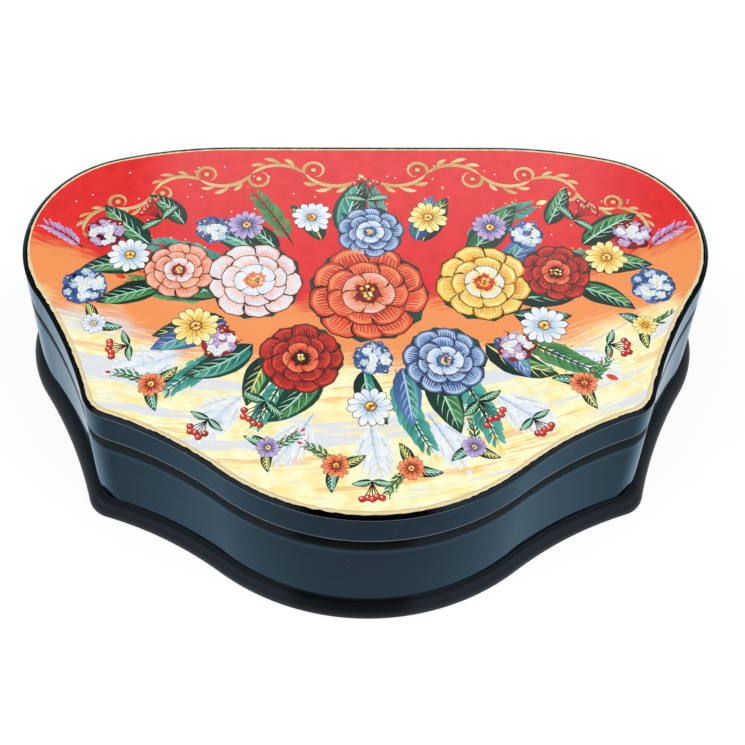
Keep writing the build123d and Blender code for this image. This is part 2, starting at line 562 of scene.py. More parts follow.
@dataclass(frozen=True)
class Plan:
    """The casket's plan, drawn with a compass as in the CAD model."""

    width: float = 210.0 * MM
    depth: float = 139.0 * MM
    back_straight: float = 82.0 * MM
    shoulder_radius: float = 138.0 * MM
    ear_radius: float = 36.5 * MM
    corner_radius: float = 10.5 * MM
    corner_spread: float = 144.8 * MM
    corner_from_back: float = 94.8 * MM
    flank_hollow_radius: float = 153.0 * MM
    front_hollow_radius: float = 115.0 * MM
    lobe_radius: float = 68.0 * MM
    pitch: float = 1.2 * MM
    turn: float = math.radians(3.0)

    @staticmethod
    def bearing(start: Point, end: Point) -> float:
        """Angle of the way from one point to another, in radians."""
        return math.atan2(end[1] - start[1], end[0] - start[0])

    @classmethod
    def meeting(cls, first: Point, first_reach: float, second: Point, second_reach: float) -> Point:
        """Point at given distances from two centres.

        Args:
            first: First centre.
            first_reach: Distance from it.
            second: Second centre.
            second_reach: Distance from it.

        Returns:
            The point on the left of the way from first to second.
        """
        span = math.dist(first, second)
        along = (span**2 + first_reach**2 - second_reach**2) / (2 * span)
        aside = math.sqrt(first_reach**2 - along**2)
        way = cls.bearing(first, second)
        x = first[0] + along * math.cos(way) - aside * math.sin(way)
        y = first[1] + along * math.sin(way) + aside * math.cos(way)
        return x, y

    def centres(self) -> tuple[Point, ...]:
        """Centres of the right half's arcs.

        Returns:
            Those of the shoulder, ear, flank, corner, front and lobe.
        """
        back = self.depth / 2
        shoulder = (self.back_straight / 2, back - self.shoulder_radius)
        ear_x = self.width / 2 - self.ear_radius
        reach = self.shoulder_radius - self.ear_radius
        ear = (ear_x, shoulder[1] + math.sqrt(reach**2 - (ear_x - shoulder[0]) ** 2))
        corner = (self.corner_spread / 2, back - self.corner_from_back)
        lobe = (0.0, self.lobe_radius - back)
        hollow = self.flank_hollow_radius
        flank = self.meeting(ear, self.ear_radius + hollow, corner, self.corner_radius + hollow)
        hollow = self.front_hollow_radius
        front = self.meeting(corner, self.corner_radius + hollow, lobe, self.lobe_radius + hollow)
        return shoulder, ear, flank, corner, front, lobe

    def widened(self, overhang: float, out: float, forward: float, corner_radius: float) -> "Plan":
        """Plan of a board that stands out all round, drawn with the same openings for its hollows.

        Args:
            overhang: How far it stands out at the back, the ears and the lobe.
            out: How much further apart its front corners lie, on each side.
            forward: How much further forward they lie.
            corner_radius: Their radius.

        Returns:
            The board's plan.
        """
        return replace(
            self,
            width=self.width + 2 * overhang,
            depth=self.depth + 2 * overhang,
            shoulder_radius=self.shoulder_radius + overhang,
            ear_radius=self.ear_radius + overhang,
            lobe_radius=self.lobe_radius + overhang,
            corner_radius=corner_radius,
            corner_spread=self.corner_spread + 2 * out,
            corner_from_back=self.corner_from_back + overhang + forward,
        )

    def swing(self, centre: Point, radius: float, start: float, end: float) -> list[Point]:
        """Points of an arc without its end, the short way round.

        Args:
            centre: Its centre.
            radius: Its radius.
            start: Bearing of its first point, in radians.
            end: Bearing of its end.

        Returns:
            The points.
        """
        sweep = math.remainder(end - start, math.tau)
        count = math.ceil(abs(sweep) * max(radius / self.pitch, 1 / self.turn))
        bearings = [start + sweep * index / count for index in range(count)]
        x, y = centre
        return [(x + radius * math.cos(b), y + radius * math.sin(b)) for b in bearings]

    def loop(self, offset: float = 0.0) -> list[Point]:
        """The outline as closed points, clockwise from the middle of the back.

        Args:
            offset: How far every wall is moved outwards.

        Returns:
            The points.
        """
        shoulder, ear, flank, corner, front, lobe = self.centres()
        look, quarter = self.bearing, math.pi / 2
        half, back = self.back_straight / 2, self.depth / 2 + offset
        steps = math.ceil(half / self.pitch)
        right = [(half * index / steps, back) for index in range(steps)]
        for arc in (
            (shoulder, self.shoulder_radius + offset, quarter, look(shoulder, ear)),
            (ear, self.ear_radius + offset, look(shoulder, ear), look(ear, flank)),
            (flank, self.flank_hollow_radius - offset, look(flank, ear), look(flank, corner)),
            (corner, self.corner_radius + offset, look(corner, flank), look(corner, front)),
            (front, self.front_hollow_radius - offset, look(front, corner), look(front, lobe)),
            (lobe, self.lobe_radius + offset, look(lobe, front), -quarter),
        ):
            right += self.swing(*arc)
        return [*right, (0.0, -back), *((-x, y) for x, y in reversed(right[1:]))]


@dataclass(frozen=True)
class Corner:
    """Corner of a wall's cross-section: how far out and how high it lies, and its rounding."""

    out: float
    up: float
    rounding: float = 0.0


@dataclass(frozen=True)
class Profile:
    """Cross-section of a wall or edge that is carried round the plan."""

    LAP: ClassVar[float] = 2.0 * MM
    corners: tuple[Corner, ...]
    closed: bool
    facets: int = 8
    ease: float = 0.12 * MM

    @classmethod
    def layer(cls, edge: float, floor: float, rise: float) -> "Profile":
        """Section of a thin layer that fills the plan up to an edge.

        Args:
            edge: How far out the edge lies.
            floor: Height that the layer lies on.
            rise: Its thickness.

        Returns:
            The section, with open ends.
        """
        inner, top = edge - cls.LAP, floor + rise
        places = ((inner, floor), (edge, floor), (edge, top), (inner, top))
        return cls(tuple(Corner(out, up) for out, up in places), closed=False)

    def rounded(self, before: Corner, at: Corner, after: Corner) -> list[Point]:
        """Points that round one corner.

        Args:
            before: The corner before it.
            at: The corner.
            after: The corner after it.

        Returns:
            Points from the start to the end of the rounding.
        """
        tip = Vector((at.out, at.up))
        ways = [(Vector((end.out, end.up)) - tip).normalized() for end in (before, after)]
        if not at.rounding:
            return [tuple(tip)]
        half = ways[0].angle(ways[1]) / 2
        centre = tip + (ways[0] + ways[1]).normalized() * (at.rounding / math.sin(half))
        reach = at.rounding / math.tan(half)
        first, last = ((tip + way * reach - centre).normalized() for way in ways)
        spokes = [first.slerp(last, index / self.facets) for index in range(self.facets + 1)]
        return [tuple(centre + spoke * at.rounding) for spoke in spokes]

    def points(self) -> list[Point]:
        """The cross-section with its corners rounded.

        Returns:
            Its points, with one more beside each end of a straight run, to keep that flat.
        """
        count = len(self.corners)
        line: list[Point] = []
        for index, corner in enumerate(self.corners):
            is_end = not self.closed and index in (0, count - 1)
            if is_end:
                line.append((corner.out, corner.up))
            else:
                after = self.corners[(index + 1) % count]
                line += self.rounded(self.corners[index - 1], corner, after)
        eased: list[Point] = []
        followers = line[1:] + (line[:1] if self.closed else [])
        for start, end in zip(line, followers):
            run = math.dist(start, end)
            eased.append(start)
            if run > 4 * self.ease:
                share = self.ease / run
                eased += [tuple(Vector(start).lerp(end, part)) for part in (share, 1 - share)]
        return eased if self.closed else [*eased, line[-1]]


class Sweep:
    """Carries cross-sections round the plan with a Geometry Nodes tree."""

    def __init__(self) -> None:
        """Build the tree: the outline is a curve and the cross-section another object."""
        tree = Builder("CarryProfile", "Profile", "Finish")
        upright = tree.node("GeometryNodeSetCurveNormal", {"mode": "Z_UP"}, {0: tree.given("Geometry")})
        section = tree.node(
            "GeometryNodeObjectInfo", None, {"Object": tree.given("Profile")}, "Geometry"
        )
        wall = tree.node("GeometryNodeCurveToMesh", None, {"Curve": upright, "Profile Curve": section})
        tree.end(wall)
        self.tree = tree

    def mesh(self, name: str, outline: Sequence[Point], profile: Profile, finish: Material) -> Mesh:
        """Carry a cross-section round an outline.

        Args:
            name: Name of the mesh.
            outline: Closed outline that the section's out is measured from.
            profile: The section. One with open ends is closed by flat faces.
            finish: The mesh's material.

        Returns:
            A closed mesh.
        """
        section = poly_curve("Section", [(-out, -up) for out, up in profile.points()], profile.closed)
        path = poly_curve("Outline", outline, True)
        mesh = self.tree.run(path, name, Profile=section, Finish=finish)
        bpy.data.objects.remove(section)
        return finished(mesh)


# Finishes


VARNISH = {"Specular_IOR_Level": 0.3, "Coat_Weight": 1.0, "Coat_Roughness": 0.02}


@dataclass(frozen=True)
class Cloud:
    """Noise pattern, by its features per millimetre, its finer layers and its stretch along the axes."""

    scale: float
    detail: float
    stretch: Place = (1.0, 1.0, 1.0)

    def on(self, tree: Shader) -> Wire:
        """The pattern in a material."""
        return tree.noise(tree.place_mm(self.stretch), self.scale, self.detail)


@dataclass(frozen=True)
class LacquerFinish:
    """Polished oil lacquer with faint waves, wiped smears, a few grains of dust and edge bands of wear and
    painted highlight.

    The black one shines like a dark metal, because only that has a tint for slanting reflections. Their slate
    blue tint is a painted reflection, standing in for a slate blue surrounding that the lacquer mirrors. It
    may have a painted highlight band at one height, brighter reflecting colour in place of the highlight on a
    curve, and be matte above one height and below another, with painted shade in a gap in the middle and a
    lighter painted sheen outside it. Where it faces sideways its shading may lean upwards, which moves the
    mirror image of the table and leaves the shape as it is.
    """

    name: str
    colour: Colour
    shine_tint: Colour
    metal: float = 0.0
    gloss: float = 0.5
    bloom: float = 1.1
    metal_bloom: float = 0.7
    roughness: float = 0.03
    smear: float = 0.04
    smears: Cloud = Cloud(0.07, 5.0, (0.5, 0.5, 1.6))
    wave_mm: float = 0.010
    waves: Cloud = Cloud(0.11, 1.5, (0.6, 0.6, 1.8))
    dust: Colour = (0.30, 0.33, 0.35)
    dust_spacing_mm: float = 3.2
    dust_free_share: float = 0.60
    dust_grain: Point = (0.050, 0.025)
    dust_roughness: float = 0.4
    # Lighter bands at given heights, in patches: partly edge wear, partly a painted highlight along the edge.
    highlight_wear: Colour = (0.10, 0.12, 0.13)
    highlight_wear_heights_mm: tuple[Point, ...] = ()
    highlight_wear_patches: Cloud = Cloud(0.03, 4.0)
    # Painted highlight band: its middle height and half width in millimetres, and how much brighter its
    # colour is.
    painted_highlight_band_mm: Point = (0.0, 0.0)
    highlight_band_gain: float = 2.8
    # Matte parts: a dark tone, painted shade, in a gap in the middle, and a lighter painted sheen left and
    # right of it.
    matte: Colour = (0.0050, 0.0062, 0.0072)
    matte_shade_above_mm: Point = (0.0, 0.0)
    matte_shade_below_mm: Point = (-9.0, -10.0)
    matte_roughness: float = 0.25
    painted_sheen: Colour = (0.0105, 0.0135, 0.0165)
    sheen_gap_mm: Point = (-23.0, 12.0)
    sheen_fade_mm: float = 3.0
    flank_lean: float = 0.0
    flank_facing: Point = (0.70, 0.85)

    def brighter(self, gain: float) -> Colour:
        """The lacquer's colour times a gain."""
        return tuple(gain * channel for channel in self.colour)

    def dusty(self, tree: Shader) -> Wire:
        """Where grains of dust lie.

        Args:
            tree: The material's nodes.

        Returns:
            One on a grain and zero beside it.
        """
        cells = {"Vector": tree.place_mm(), "Scale": 1.0 / self.dust_spacing_mm}
        grains = tree.node("ShaderNodeTexVoronoi", None, cells, "Distance")
        chosen = tree.node("ShaderNodeSeparateColor", None, {0: grains.other("Color")}) > self.dust_free_share
        return grains.step(*self.dust_grain) * chosen

    def shade_and_sheen(self, tree: Shader, x: Wire) -> Wire:
        """Colour of the matte parts: painted shade in the gap in the middle, and a lighter painted sheen on
        both sides of it.

        Args:
            tree: The material's nodes.
            x: Place across the casket, in millimetres.

        Returns:
            The colour.
        """
        (left, right), fade = self.sheen_gap_mm, self.sheen_fade_mm
        clear = x.step(left - fade, left + fade) * x.step(right + fade, right - fade)
        return tree.mix(clear, self.painted_sheen, self.matte)

    def leant(self, tree: Shader, normal: Wire) -> Wire:
        """Lean a normal upwards, in the frame of the piece, where it faces sideways.

        Args:
            tree: The material's nodes.
            normal: The upright normal.

        Returns:
            The normal that leans.
        """
        lean = abs(tree.apart(normal)[0]).step(*self.flank_facing) * self.flank_lean
        ways = {"vector_type": "VECTOR", "convert_from": "OBJECT", "convert_to": "WORLD"}
        rise = tree.node("ShaderNodeVectorTransform", ways, {0: tree.together(0.0, 0.0, lean)})
        return tree.vector("NORMALIZE", tree.vector("ADD", normal, rise))

    def material(self) -> Material:
        """Make the material.

        Returns:
            The material.
        """
        tree = Shader(self.name)
        x, y, height = tree.apart(tree.place_mm())
        dust = self.dusty(tree)
        wiped = tree.noise(tree.together(x * 0.05 + height * 0.11, y * 0.05, height * 0.7), 1.0, 4.0)
        bloom = self.brighter(self.bloom + self.metal * self.metal_bloom)
        colour = tree.mix(dust, tree.mix(wiped.step(0.50, 0.85), self.colour, bloom), self.dust)
        # Painted highlight: a band of brighter reflecting colour at one height stands in for the highlight on
        # a curve.
        middle, reach = self.painted_highlight_band_mm
        if reach:
            highlight_band = abs(height - middle).step(reach, 0.0)
            colour = tree.mix(highlight_band, colour, self.brighter(self.highlight_band_gain))
        polish = (1.0 - dust) * self.metal
        smears = self.smears.on(tree).step(0.45, 0.75)
        roughness = self.roughness + smears * self.smear + dust * self.dust_roughness
        # Painted shade and sheen: above one height and below another the lacquer is matte, dark in the middle
        # and lighter at the sides.
        if any(self.matte_shade_above_mm):
            matte = height.step(*self.matte_shade_above_mm) + height.step(*self.matte_shade_below_mm)
            colour = tree.mix(matte, colour, self.shade_and_sheen(tree, x))
            polish = polish * (1.0 - matte)
            roughness = roughness + matte * self.matte_roughness
        # Lighter bands at given heights, in patches: partly edge wear, partly a painted highlight along the
        # edge.
        for middle, reach in self.highlight_wear_heights_mm:
            patches = self.highlight_wear_patches.on(tree).step(0.30, 0.50)
            highlight_wear_mask = abs(height - middle).step(reach, reach * 0.5) * patches
            colour = tree.mix(highlight_wear_mask, colour, self.highlight_wear)
            polish = polish * (1.0 - highlight_wear_mask)
        normal = tree.bump(self.waves.on(tree), self.wave_mm)
        tree.set(
            Base_Color=colour,
            Metallic=polish,
            Roughness=roughness,
            Specular_IOR_Level=self.gloss,
            Specular_Tint=(*self.shine_tint, 1.0),
            Normal=self.leant(tree, normal) if self.flank_lean else normal,
        )
        return tree.material


@dataclass(frozen=True)
class GroundFinish:
    """Painted ground of the lid: red at the back, then orange, then gold leaf with sweeps of pearl."""

    name: str = "painted_ground"
    red: Colour = (0.82, 0.026, 0.025)
    deep_red: Colour = (0.74, 0.020, 0.022)
    orange: Colour = (0.93, 0.31, 0.095)
    gold: Colour = (1.00, 0.83, 0.34)
    cream: Colour = (1.00, 0.96, 0.60)
    pearl: Colour = (0.74, 0.76, 0.84)
    speck: Colour = (0.62, 0.36, 0.10)
    sweep_centre_mm: Point = (-30.0, 190.0)
    drift: Cloud = Cloud(0.030, 3.0)
    drift_mm: float = 30.0
    hairs_mm: float = 16.0
    bow_per_mm: float = 0.0026
    mottle: Cloud = Cloud(0.22, 6.0)
    flakes: Cloud = Cloud(2.2, 2.0)
    orange_from_mm: Point = (-24.0, -14.0)
    red_from_mm: Point = (0.0, 9.0)

    def material(self) -> Material:
        """Make the material.

        Returns:
            The material.
        """
        tree = Shader(self.name)
        x, y, _ = tree.apart(tree.place_mm())
        centre_x, centre_y = self.sweep_centre_mm
        over, down = x - centre_x, centre_y - y
        radius = (over * over + down * down) ** 0.5
        sweep = tree.together(over / down * 6.0, radius * 0.35, 0.0)
        hairs = tree.noise(sweep, 3.2, 4.0) - 0.5
        streaks = tree.noise(sweep, 0.42, 4.0)
        drift = (self.drift.on(tree) - 0.5) * self.drift_mm
        level = y + drift + hairs * self.hairs_mm - x * x * self.bow_per_mm
        mottle = self.mottle.on(tree)
        reds = tree.mix(mottle.step(0.35, 0.7), self.red, self.deep_red)
        leaf = tree.mix((mottle * 0.6 + hairs * 0.4).step(0.18, 0.36), self.gold, self.cream)
        leaf = tree.mix(self.flakes.on(tree).step(0.66, 0.74) * 0.5, leaf, self.speck)
        leaf = tree.mix((streaks + hairs * 0.4).step(0.52, 0.61) * 0.9, leaf, self.pearl)
        leaf = tree.mix((streaks + hairs * 0.3).step(0.41, 0.36) * 0.45, leaf, self.orange)
        warm = tree.mix(level.step(*self.orange_from_mm), leaf, self.orange)
        shade = tree.mix(level.step(*self.red_from_mm), warm, reds)
        tree.set(Base_Color=shade, Roughness=0.30 + mottle * 0.2, **VARNISH)
        return tree.material


@dataclass(frozen=True)
class PaintFinish:
    """One paint of the lid, shaded along and across each stroke of the brush."""

    deep: Colour
    bright: Colour
    metal: float = 0.0
    along: float = 0.55
    across: float = 0.25
    tint: float = 0.45
    streak: float = 0.45
    shift: float = 0.12
    bristles: Cloud = Cloud(2.6, 3.0)

    def material(self, name: str) -> Material:
        """Make the material under a name.

        Args:
            name: Name of the material.

        Returns:
            The material.
        """
        tree = Shader(name)
        bristles = self.bristles.on(tree) - 0.5
        share = tree.named("along") * self.along + tree.named("across") * self.across
        share = share + tree.named("tint") * self.tint - self.shift + bristles * self.streak
        colour = tree.mix(share.step(0.0, 1.0), self.deep, self.bright)
        tree.set(Base_Color=colour, Metallic=self.metal, Roughness=0.30 + bristles * 0.25, **VARNISH)
        return tree.material


@dataclass(frozen=True)
class WireFinish:
    """Drawn steel wire of the hinge pin."""

    name: str = "drawn_steel"
    colour: Colour = (0.50, 0.50, 0.52)
    drawn: Cloud = Cloud(2.0, 4.0, (0.05, 3.0, 3.0))

    def material(self) -> Material:
        """Make the material.

        Returns:
            The material.
        """
        tree = Shader(self.name)
        tree.set(Base_Color=self.colour, Metallic=1.0, Roughness=0.25 + self.drawn.on(tree) * 0.2)
        return tree.material


class Paint(Enum):
    """Paints of the lid's flowers."""

    WINE = PaintFinish((0.13, 0.006, 0.010), (0.36, 0.018, 0.020))
    SCARLET = PaintFinish((0.46, 0.018, 0.012), (0.88, 0.085, 0.030))
    CORAL = PaintFinish((0.80, 0.14, 0.050), (0.97, 0.36, 0.150))
    BLUSH = PaintFinish((0.84, 0.36, 0.320), (0.98, 0.70, 0.620))
    SNOW = PaintFinish((0.68, 0.76, 0.860), (0.94, 0.95, 0.960))
    ICE = PaintFinish((0.34, 0.48, 0.700), (0.64, 0.76, 0.900))
    COBALT = PaintFinish((0.02, 0.055, 0.18), (0.10, 0.20, 0.450))
    AMBER = PaintFinish((0.72, 0.26, 0.015), (0.97, 0.56, 0.050))
    LEMON = PaintFinish((0.92, 0.66, 0.120), (1.00, 0.90, 0.450))
    GOLD = PaintFinish((0.62, 0.40, 0.110), (0.96, 0.80, 0.400), 0.35)
    PINE = PaintFinish((0.003, 0.016, 0.011), (0.011, 0.070, 0.040))
    LEAF = PaintFinish((0.020, 0.13, 0.045), (0.11, 0.36, 0.110))
    TEAL = PaintFinish((0.015, 0.19, 0.16), (0.11, 0.47, 0.380))
    MINT = PaintFinish((0.30, 0.62, 0.460), (0.64, 0.88, 0.660))
    LILAC = PaintFinish((0.34, 0.22, 0.500), (0.64, 0.50, 0.760))
    UMBER = PaintFinish((0.012, 0.006, 0.005), (0.045, 0.018, 0.011))

    @property
    def piece_name(self) -> str:
        """Name of the piece that holds this paint's strokes."""
        return "painted_" + self.name.lower()


@dataclass(frozen=True)
class FloorFinish:
    """White table top. The camera and the lacquer see it near white, and it keeps a soft shadow."""

    name: str = "white_table"
    albedo: float = 0.62
    glow: float = 0.81
    shadow_share: float = 0.25

    def material(self) -> Material:
        """Make the material.

        Returns:
            The material.
        """
        tree = Shader(self.name)
        paper = tree.node("ShaderNodeBsdfDiffuse", None, {"Color": (self.albedo,) * 3})
        lit = tree.node("ShaderNodeBsdfDiffuse", None, {"Color": (self.shadow_share,) * 3})
        glow = tree.node("ShaderNodeEmission", None, {"Color": (1, 1, 1), "Strength": self.glow})
        seen = tree.node("ShaderNodeAddShader", None, {0: lit, 1: glow})
        camera = tree.node("ShaderNodeLightPath", output="Is Camera Ray")
        rays = camera + camera.other("Is Glossy Ray") + camera.other("Is Transmission Ray")
        shown = tree.node("ShaderNodeMixShader", None, {0: rays, 1: paper, 2: seen})
        tree.tree.nodes.remove(tree.surface)
        tree.feed(tree.tree.nodes["Material Output"].inputs["Surface"], shown)
        return tree.material


# Dark metal lacquer: its slate blue reflection tint is a painted reflection of a slate blue surrounding.
BLACK_LACQUER = LacquerFinish("black_lacquer", (0.007, 0.010, 0.012), (0.68, 0.85, 1.0), 1.0)
PLINTH_LACQUER = replace(
    BLACK_LACQUER,
    name="plinth_black_lacquer",
    metal=0.0,
    gloss=0.16,
    roughness=0.17,
    # The whole plinth is matte, with painted shade in the middle and painted sheen at the sides.
    matte=(0.0030, 0.0036, 0.0042),
    matte_shade_above_mm=(-2.0, -1.0),
)
BODY_LACQUER = replace(
    BLACK_LACQUER,
    name="body_black_lacquer",
    gloss=0.03,
    # Painted highlight band where the wall starts to round over into the shoulder, in place of its curve's
    # highlight.
    painted_highlight_band_mm=(34.9, 1.5),
    # Matte bands at the seat under the lid's edge and at the foot of the wall: painted shade in the middle,
    # painted sheen at the sides.
    matte_shade_above_mm=(36.1, 37.3),
    matte_shade_below_mm=(8.4, 6.8),
    painted_sheen=(0.015, 0.020, 0.024),
    flank_lean=0.06,
)
LID_LACQUER = replace(
    BLACK_LACQUER,
    name="lid_black_lacquer",
    # Lighter bands along the lid's lower edge and its arris: partly wear, partly a painted highlight.
    highlight_wear_heights_mm=((41.05, 0.38), (52.0, 0.10)),
    flank_lean=0.05,
)
RED_LACQUER = LacquerFinish("red_lacquer", (0.34, 0.010, 0.012), (1.0, 0.9, 0.88))


# Sub-assemblies


@dataclass
class Hinge:
    """Knuckle hinge at the back, with the cuts that it needs in the walls."""

    run_radius: float = 2.35 * MM
    run_length: float = 65.6 * MM
    stop_bevel_deg: float = 51.0
    wedge_reach: float = 20.0 * MM
    wedge_half_length: float = 110.0 * MM
    facets: int = 48
    nodes: tuple[str, ...] = (
        "body_knuckle_left",
        "body_knuckle_middle",
        "body_knuckle_right",
        "lid_knuckle_left",
        "lid_knuckle_right",
    )
    axis: Point = field(default_factory=lambda: tuple(frame["joints"][0]["pos_m"][1:]))

    def run_cutter(self) -> Object:
        """Round room for the knuckles.

        Returns:
            The cutter.
        """
        y, z = self.axis
        bearings = [math.tau * index / self.facets for index in range(self.facets)]
        ring = [(y + self.run_radius * math.cos(b), z + self.run_radius * math.sin(b)) for b in bearings]
        return prism("KnuckleRoom", ring, self.run_length / 2)

    def wedge_cutter(self, rises: bool) -> Object:
        """Wedge that bevels one wall outside the axis.

        Args:
            rises: Whether it cuts the lid, above the axis, or the body, below it.

        Returns:
            The cutter.
        """
        y, z = self.axis
        rise = self.wedge_reach * math.tan(math.radians(self.stop_bevel_deg)) * (1 if rises else -1)
        outline = [(y, z), (y + self.wedge_reach, z), (y + self.wedge_reach, z + rise)]
        return prism("StopWedge", outline, self.wedge_half_length)

    def cut(self, mesh: Mesh, rises: bool) -> Mesh:
        """Take the hinge's room out of a wall.

        Args:
            mesh: The wall.
            rises: As for wedge_cutter.

        Returns:
            The cut wall.
        """
        return carved(mesh, [self.wedge_cutter(rises), self.run_cutter()])

    def dress(self, lacquer: Material) -> None:
        """Finish the knuckles and the pin, which stay as in the CAD model.

        Args:
            lacquer: Material of the knuckles.
        """
        for node in self.nodes:
            frame["nodes"][node].material_slots[0].material = lacquer
        frame["nodes"]["hinge_pin"].material_slots[0].material = WireFinish().material()


@dataclass
class Shell:
    """Sub-assembly on one body, whose pieces are cross-sections carried round a plan."""

    BODY: ClassVar[Body]
    plan: Plan
    sweep: Sweep

    def place(
        self,
        name: str,
        section: Profile,
        finish: Material,
        slot: Slot,
        replaces: str | None = None,
        plan: Plan | None = None,
        hinge: Hinge | None = None,
    ) -> None:
        """Make a piece and put it on the body.

        Args:
            name: Name of the piece.
            section: Its cross-section.
            finish: Its material.
            slot: The record's slot meant for its finish. It is not used.
            replaces: The CAD node that it stands for.
            plan: The plan that it follows, where that isn't the sub-assembly's own.
            hinge: The hinge that has its room cut out of the piece.
        """
        mesh = self.sweep.mesh(name, (plan or self.plan).loop(), section, finish)
        if hinge:
            mesh = hinge.cut(mesh, self.BODY is Body.LID)
        add_piece(name, mesh, self.BODY, replaces)


@dataclass
class BoxBody(Shell):
    """Lower half of the casket: plinth, wall, collar and the red lacquer on its floor."""

    BODY = Body.BOX
    plinth_overhang: float = 2.9 * MM
    plinth_corner_out: float = 5.2 * MM
    plinth_corner_forward: float = 3.6 * MM
    plinth_corner_radius: float = 8.4 * MM
    plinth_round: float = 4.0 * MM
    foot_chamfer: float = 0.6 * MM
    wall: float = 4.5 * MM
    wall_facets: int = 12
    shoulder_round: float = 5.8 * MM
    shoulder_rise: float = 5.0 * MM
    shoulder_depth: float = 2.68 * MM
    shoulder_tip: float = 3.217 * MM
    seat_round: float = 0.10 * MM
    inner_round: float = 0.15 * MM
    collar_out: float = -4.6 * MM
    collar_in: float = -6.6 * MM
    collar_round: float = 0.6 * MM
    film: float = 0.15 * MM

    def build(self, hinge: Hinge, black: Material, red: Material) -> None:
        """Make and place the pieces.

        Args:
            hinge: Gives the cuts in the back wall.
            black: Lacquer outside.
            red: Lacquer inside.
        """
        self.build_plinth(PLINTH_LACQUER.material())
        self.build_wall(hinge, black)
        self.build_collar(red)
        floor = Profile.layer(self.collar_in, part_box("plinth_board")[1].z, self.film)
        self.place("inside_floor", floor, red, Slot.RED)

    def build_plinth(self, finish: Material) -> None:
        """Bottom board with a rounded edge.

        Args:
            finish: Its lacquer.
        """
        low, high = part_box("plinth_board")
        corner = (self.plinth_corner_out, self.plinth_corner_forward, self.plinth_corner_radius)
        board = self.plan.widened(self.plinth_overhang, *corner)
        inner = -self.plinth_overhang - self.wall / 2
        chamfer = self.foot_chamfer
        section = Profile(
            (
                Corner(inner, low.z),
                Corner(-chamfer, low.z, chamfer / 2),
                Corner(0.0, low.z + chamfer, chamfer / 2),
                Corner(0.0, high.z, self.plinth_round),
                Corner(inner, high.z),
            ),
            closed=False,
        )
        self.place("plinth", section, finish, Slot.BLACK, "plinth_board", plan=board)

    def build_wall(self, hinge: Hinge, finish: Material) -> None:
        """Wall with its top edge rounded in under the lid, cut for the hinge.

        Args:
            hinge: Gives the cuts.
            finish: Its lacquer.
        """
        low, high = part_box("body_wall")
        tip = high.z - self.shoulder_rise + self.shoulder_tip
        section = Profile(
            (
                Corner(0.0, low.z),
                Corner(0.0, tip, self.shoulder_round),
                Corner(-self.shoulder_depth, high.z, self.seat_round),
                Corner(-self.wall, high.z, self.inner_round),
                Corner(-self.wall, low.z),
            ),
            closed=True,
            facets=self.wall_facets,
        )
        self.place("body_side", section, finish, Slot.BLACK, "body_wall", hinge=hinge)

    def build_collar(self, finish: Material) -> None:
        """Red collar whose lip stands up into the lid.

        Args:
            finish: Its lacquer.
        """
        low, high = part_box("inner_collar")
        section = Profile(
            (
                Corner(self.collar_out, low.z),
                Corner(self.collar_out, high.z, self.collar_round),
                Corner(self.collar_in, high.z, self.collar_round),
                Corner(self.collar_in, low.z),
            ),
            closed=True,
        )
        self.place("collar", section, finish, Slot.RED, "inner_collar")


@dataclass
class Lid(Shell):
    """Upper half of the casket: rim, bevelled board and the red lacquer inside."""

    BODY = Body.LID
    inside: float = -4.2 * MM
    foot_round: float = 0.35 * MM
    bevel_width: float = 1.2 * MM
    bevel_drop: float = 1.0 * MM
    arris_round: float = 0.22 * MM
    film: float = 0.1 * MM
    lining_round: float = 0.4 * MM
    lining_above_seam: float = 1.4 * MM

    def build(self, hinge: Hinge, black: Material, red: Material) -> None:
        """Make and place the pieces.

        Args:
            hinge: Gives the cuts in the back of the rim.
            black: Lacquer outside.
            red: Lacquer inside.
        """
        self.build_rim(hinge, black)
        self.build_board(black)
        self.build_lining(red)

    def build_rim(self, hinge: Hinge, finish: Material) -> None:
        """Rim of the lid, cut for the hinge.

        Args:
            hinge: Gives the cuts.
            finish: Its lacquer.
        """
        low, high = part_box("lid_rim")
        section = Profile(
            (
                Corner(0.0, low.z, self.foot_round),
                Corner(0.0, high.z),
                Corner(self.inside, high.z),
                Corner(self.inside, low.z, self.foot_round),
            ),
            closed=True,
        )
        self.place("lid_side", section, finish, Slot.BLACK, "lid_rim", hinge=hinge)

    def build_board(self, finish: Material) -> None:
        """Top board with its bevelled edge.

        Args:
            finish: Its lacquer.
        """
        low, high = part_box("lid_board")
        inner = 3 * self.inside
        section = Profile(
            (
                Corner(inner, low.z),
                Corner(0.0, low.z),
                Corner(0.0, high.z - self.bevel_drop, self.arris_round),
                Corner(-self.bevel_width, high.z, self.arris_round),
                Corner(inner / 4, high.z),
            ),
            closed=False,
        )
        self.place("lid_top", section, finish, Slot.BLACK, "lid_board")

    def build_lining(self, finish: Material) -> None:
        """Red lacquer inside the rim and under the board.

        Args:
            finish: That lacquer.
        """
        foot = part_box("lid_rim")[0].z + self.lining_above_seam
        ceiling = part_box("lid_board")[0].z
        edge = self.inside
        inner = 2 * edge
        section = Profile(
            (
                Corner(inner, ceiling),
                Corner(edge, ceiling),
                Corner(edge, foot),
                Corner(edge - self.film, foot),
                Corner(edge - self.film, ceiling - self.film, self.lining_round),
                Corner(inner, ceiling - self.film),
            ),
            closed=False,
        )
        self.place("lid_lining", section, finish, Slot.RED)


# Painting of the lid


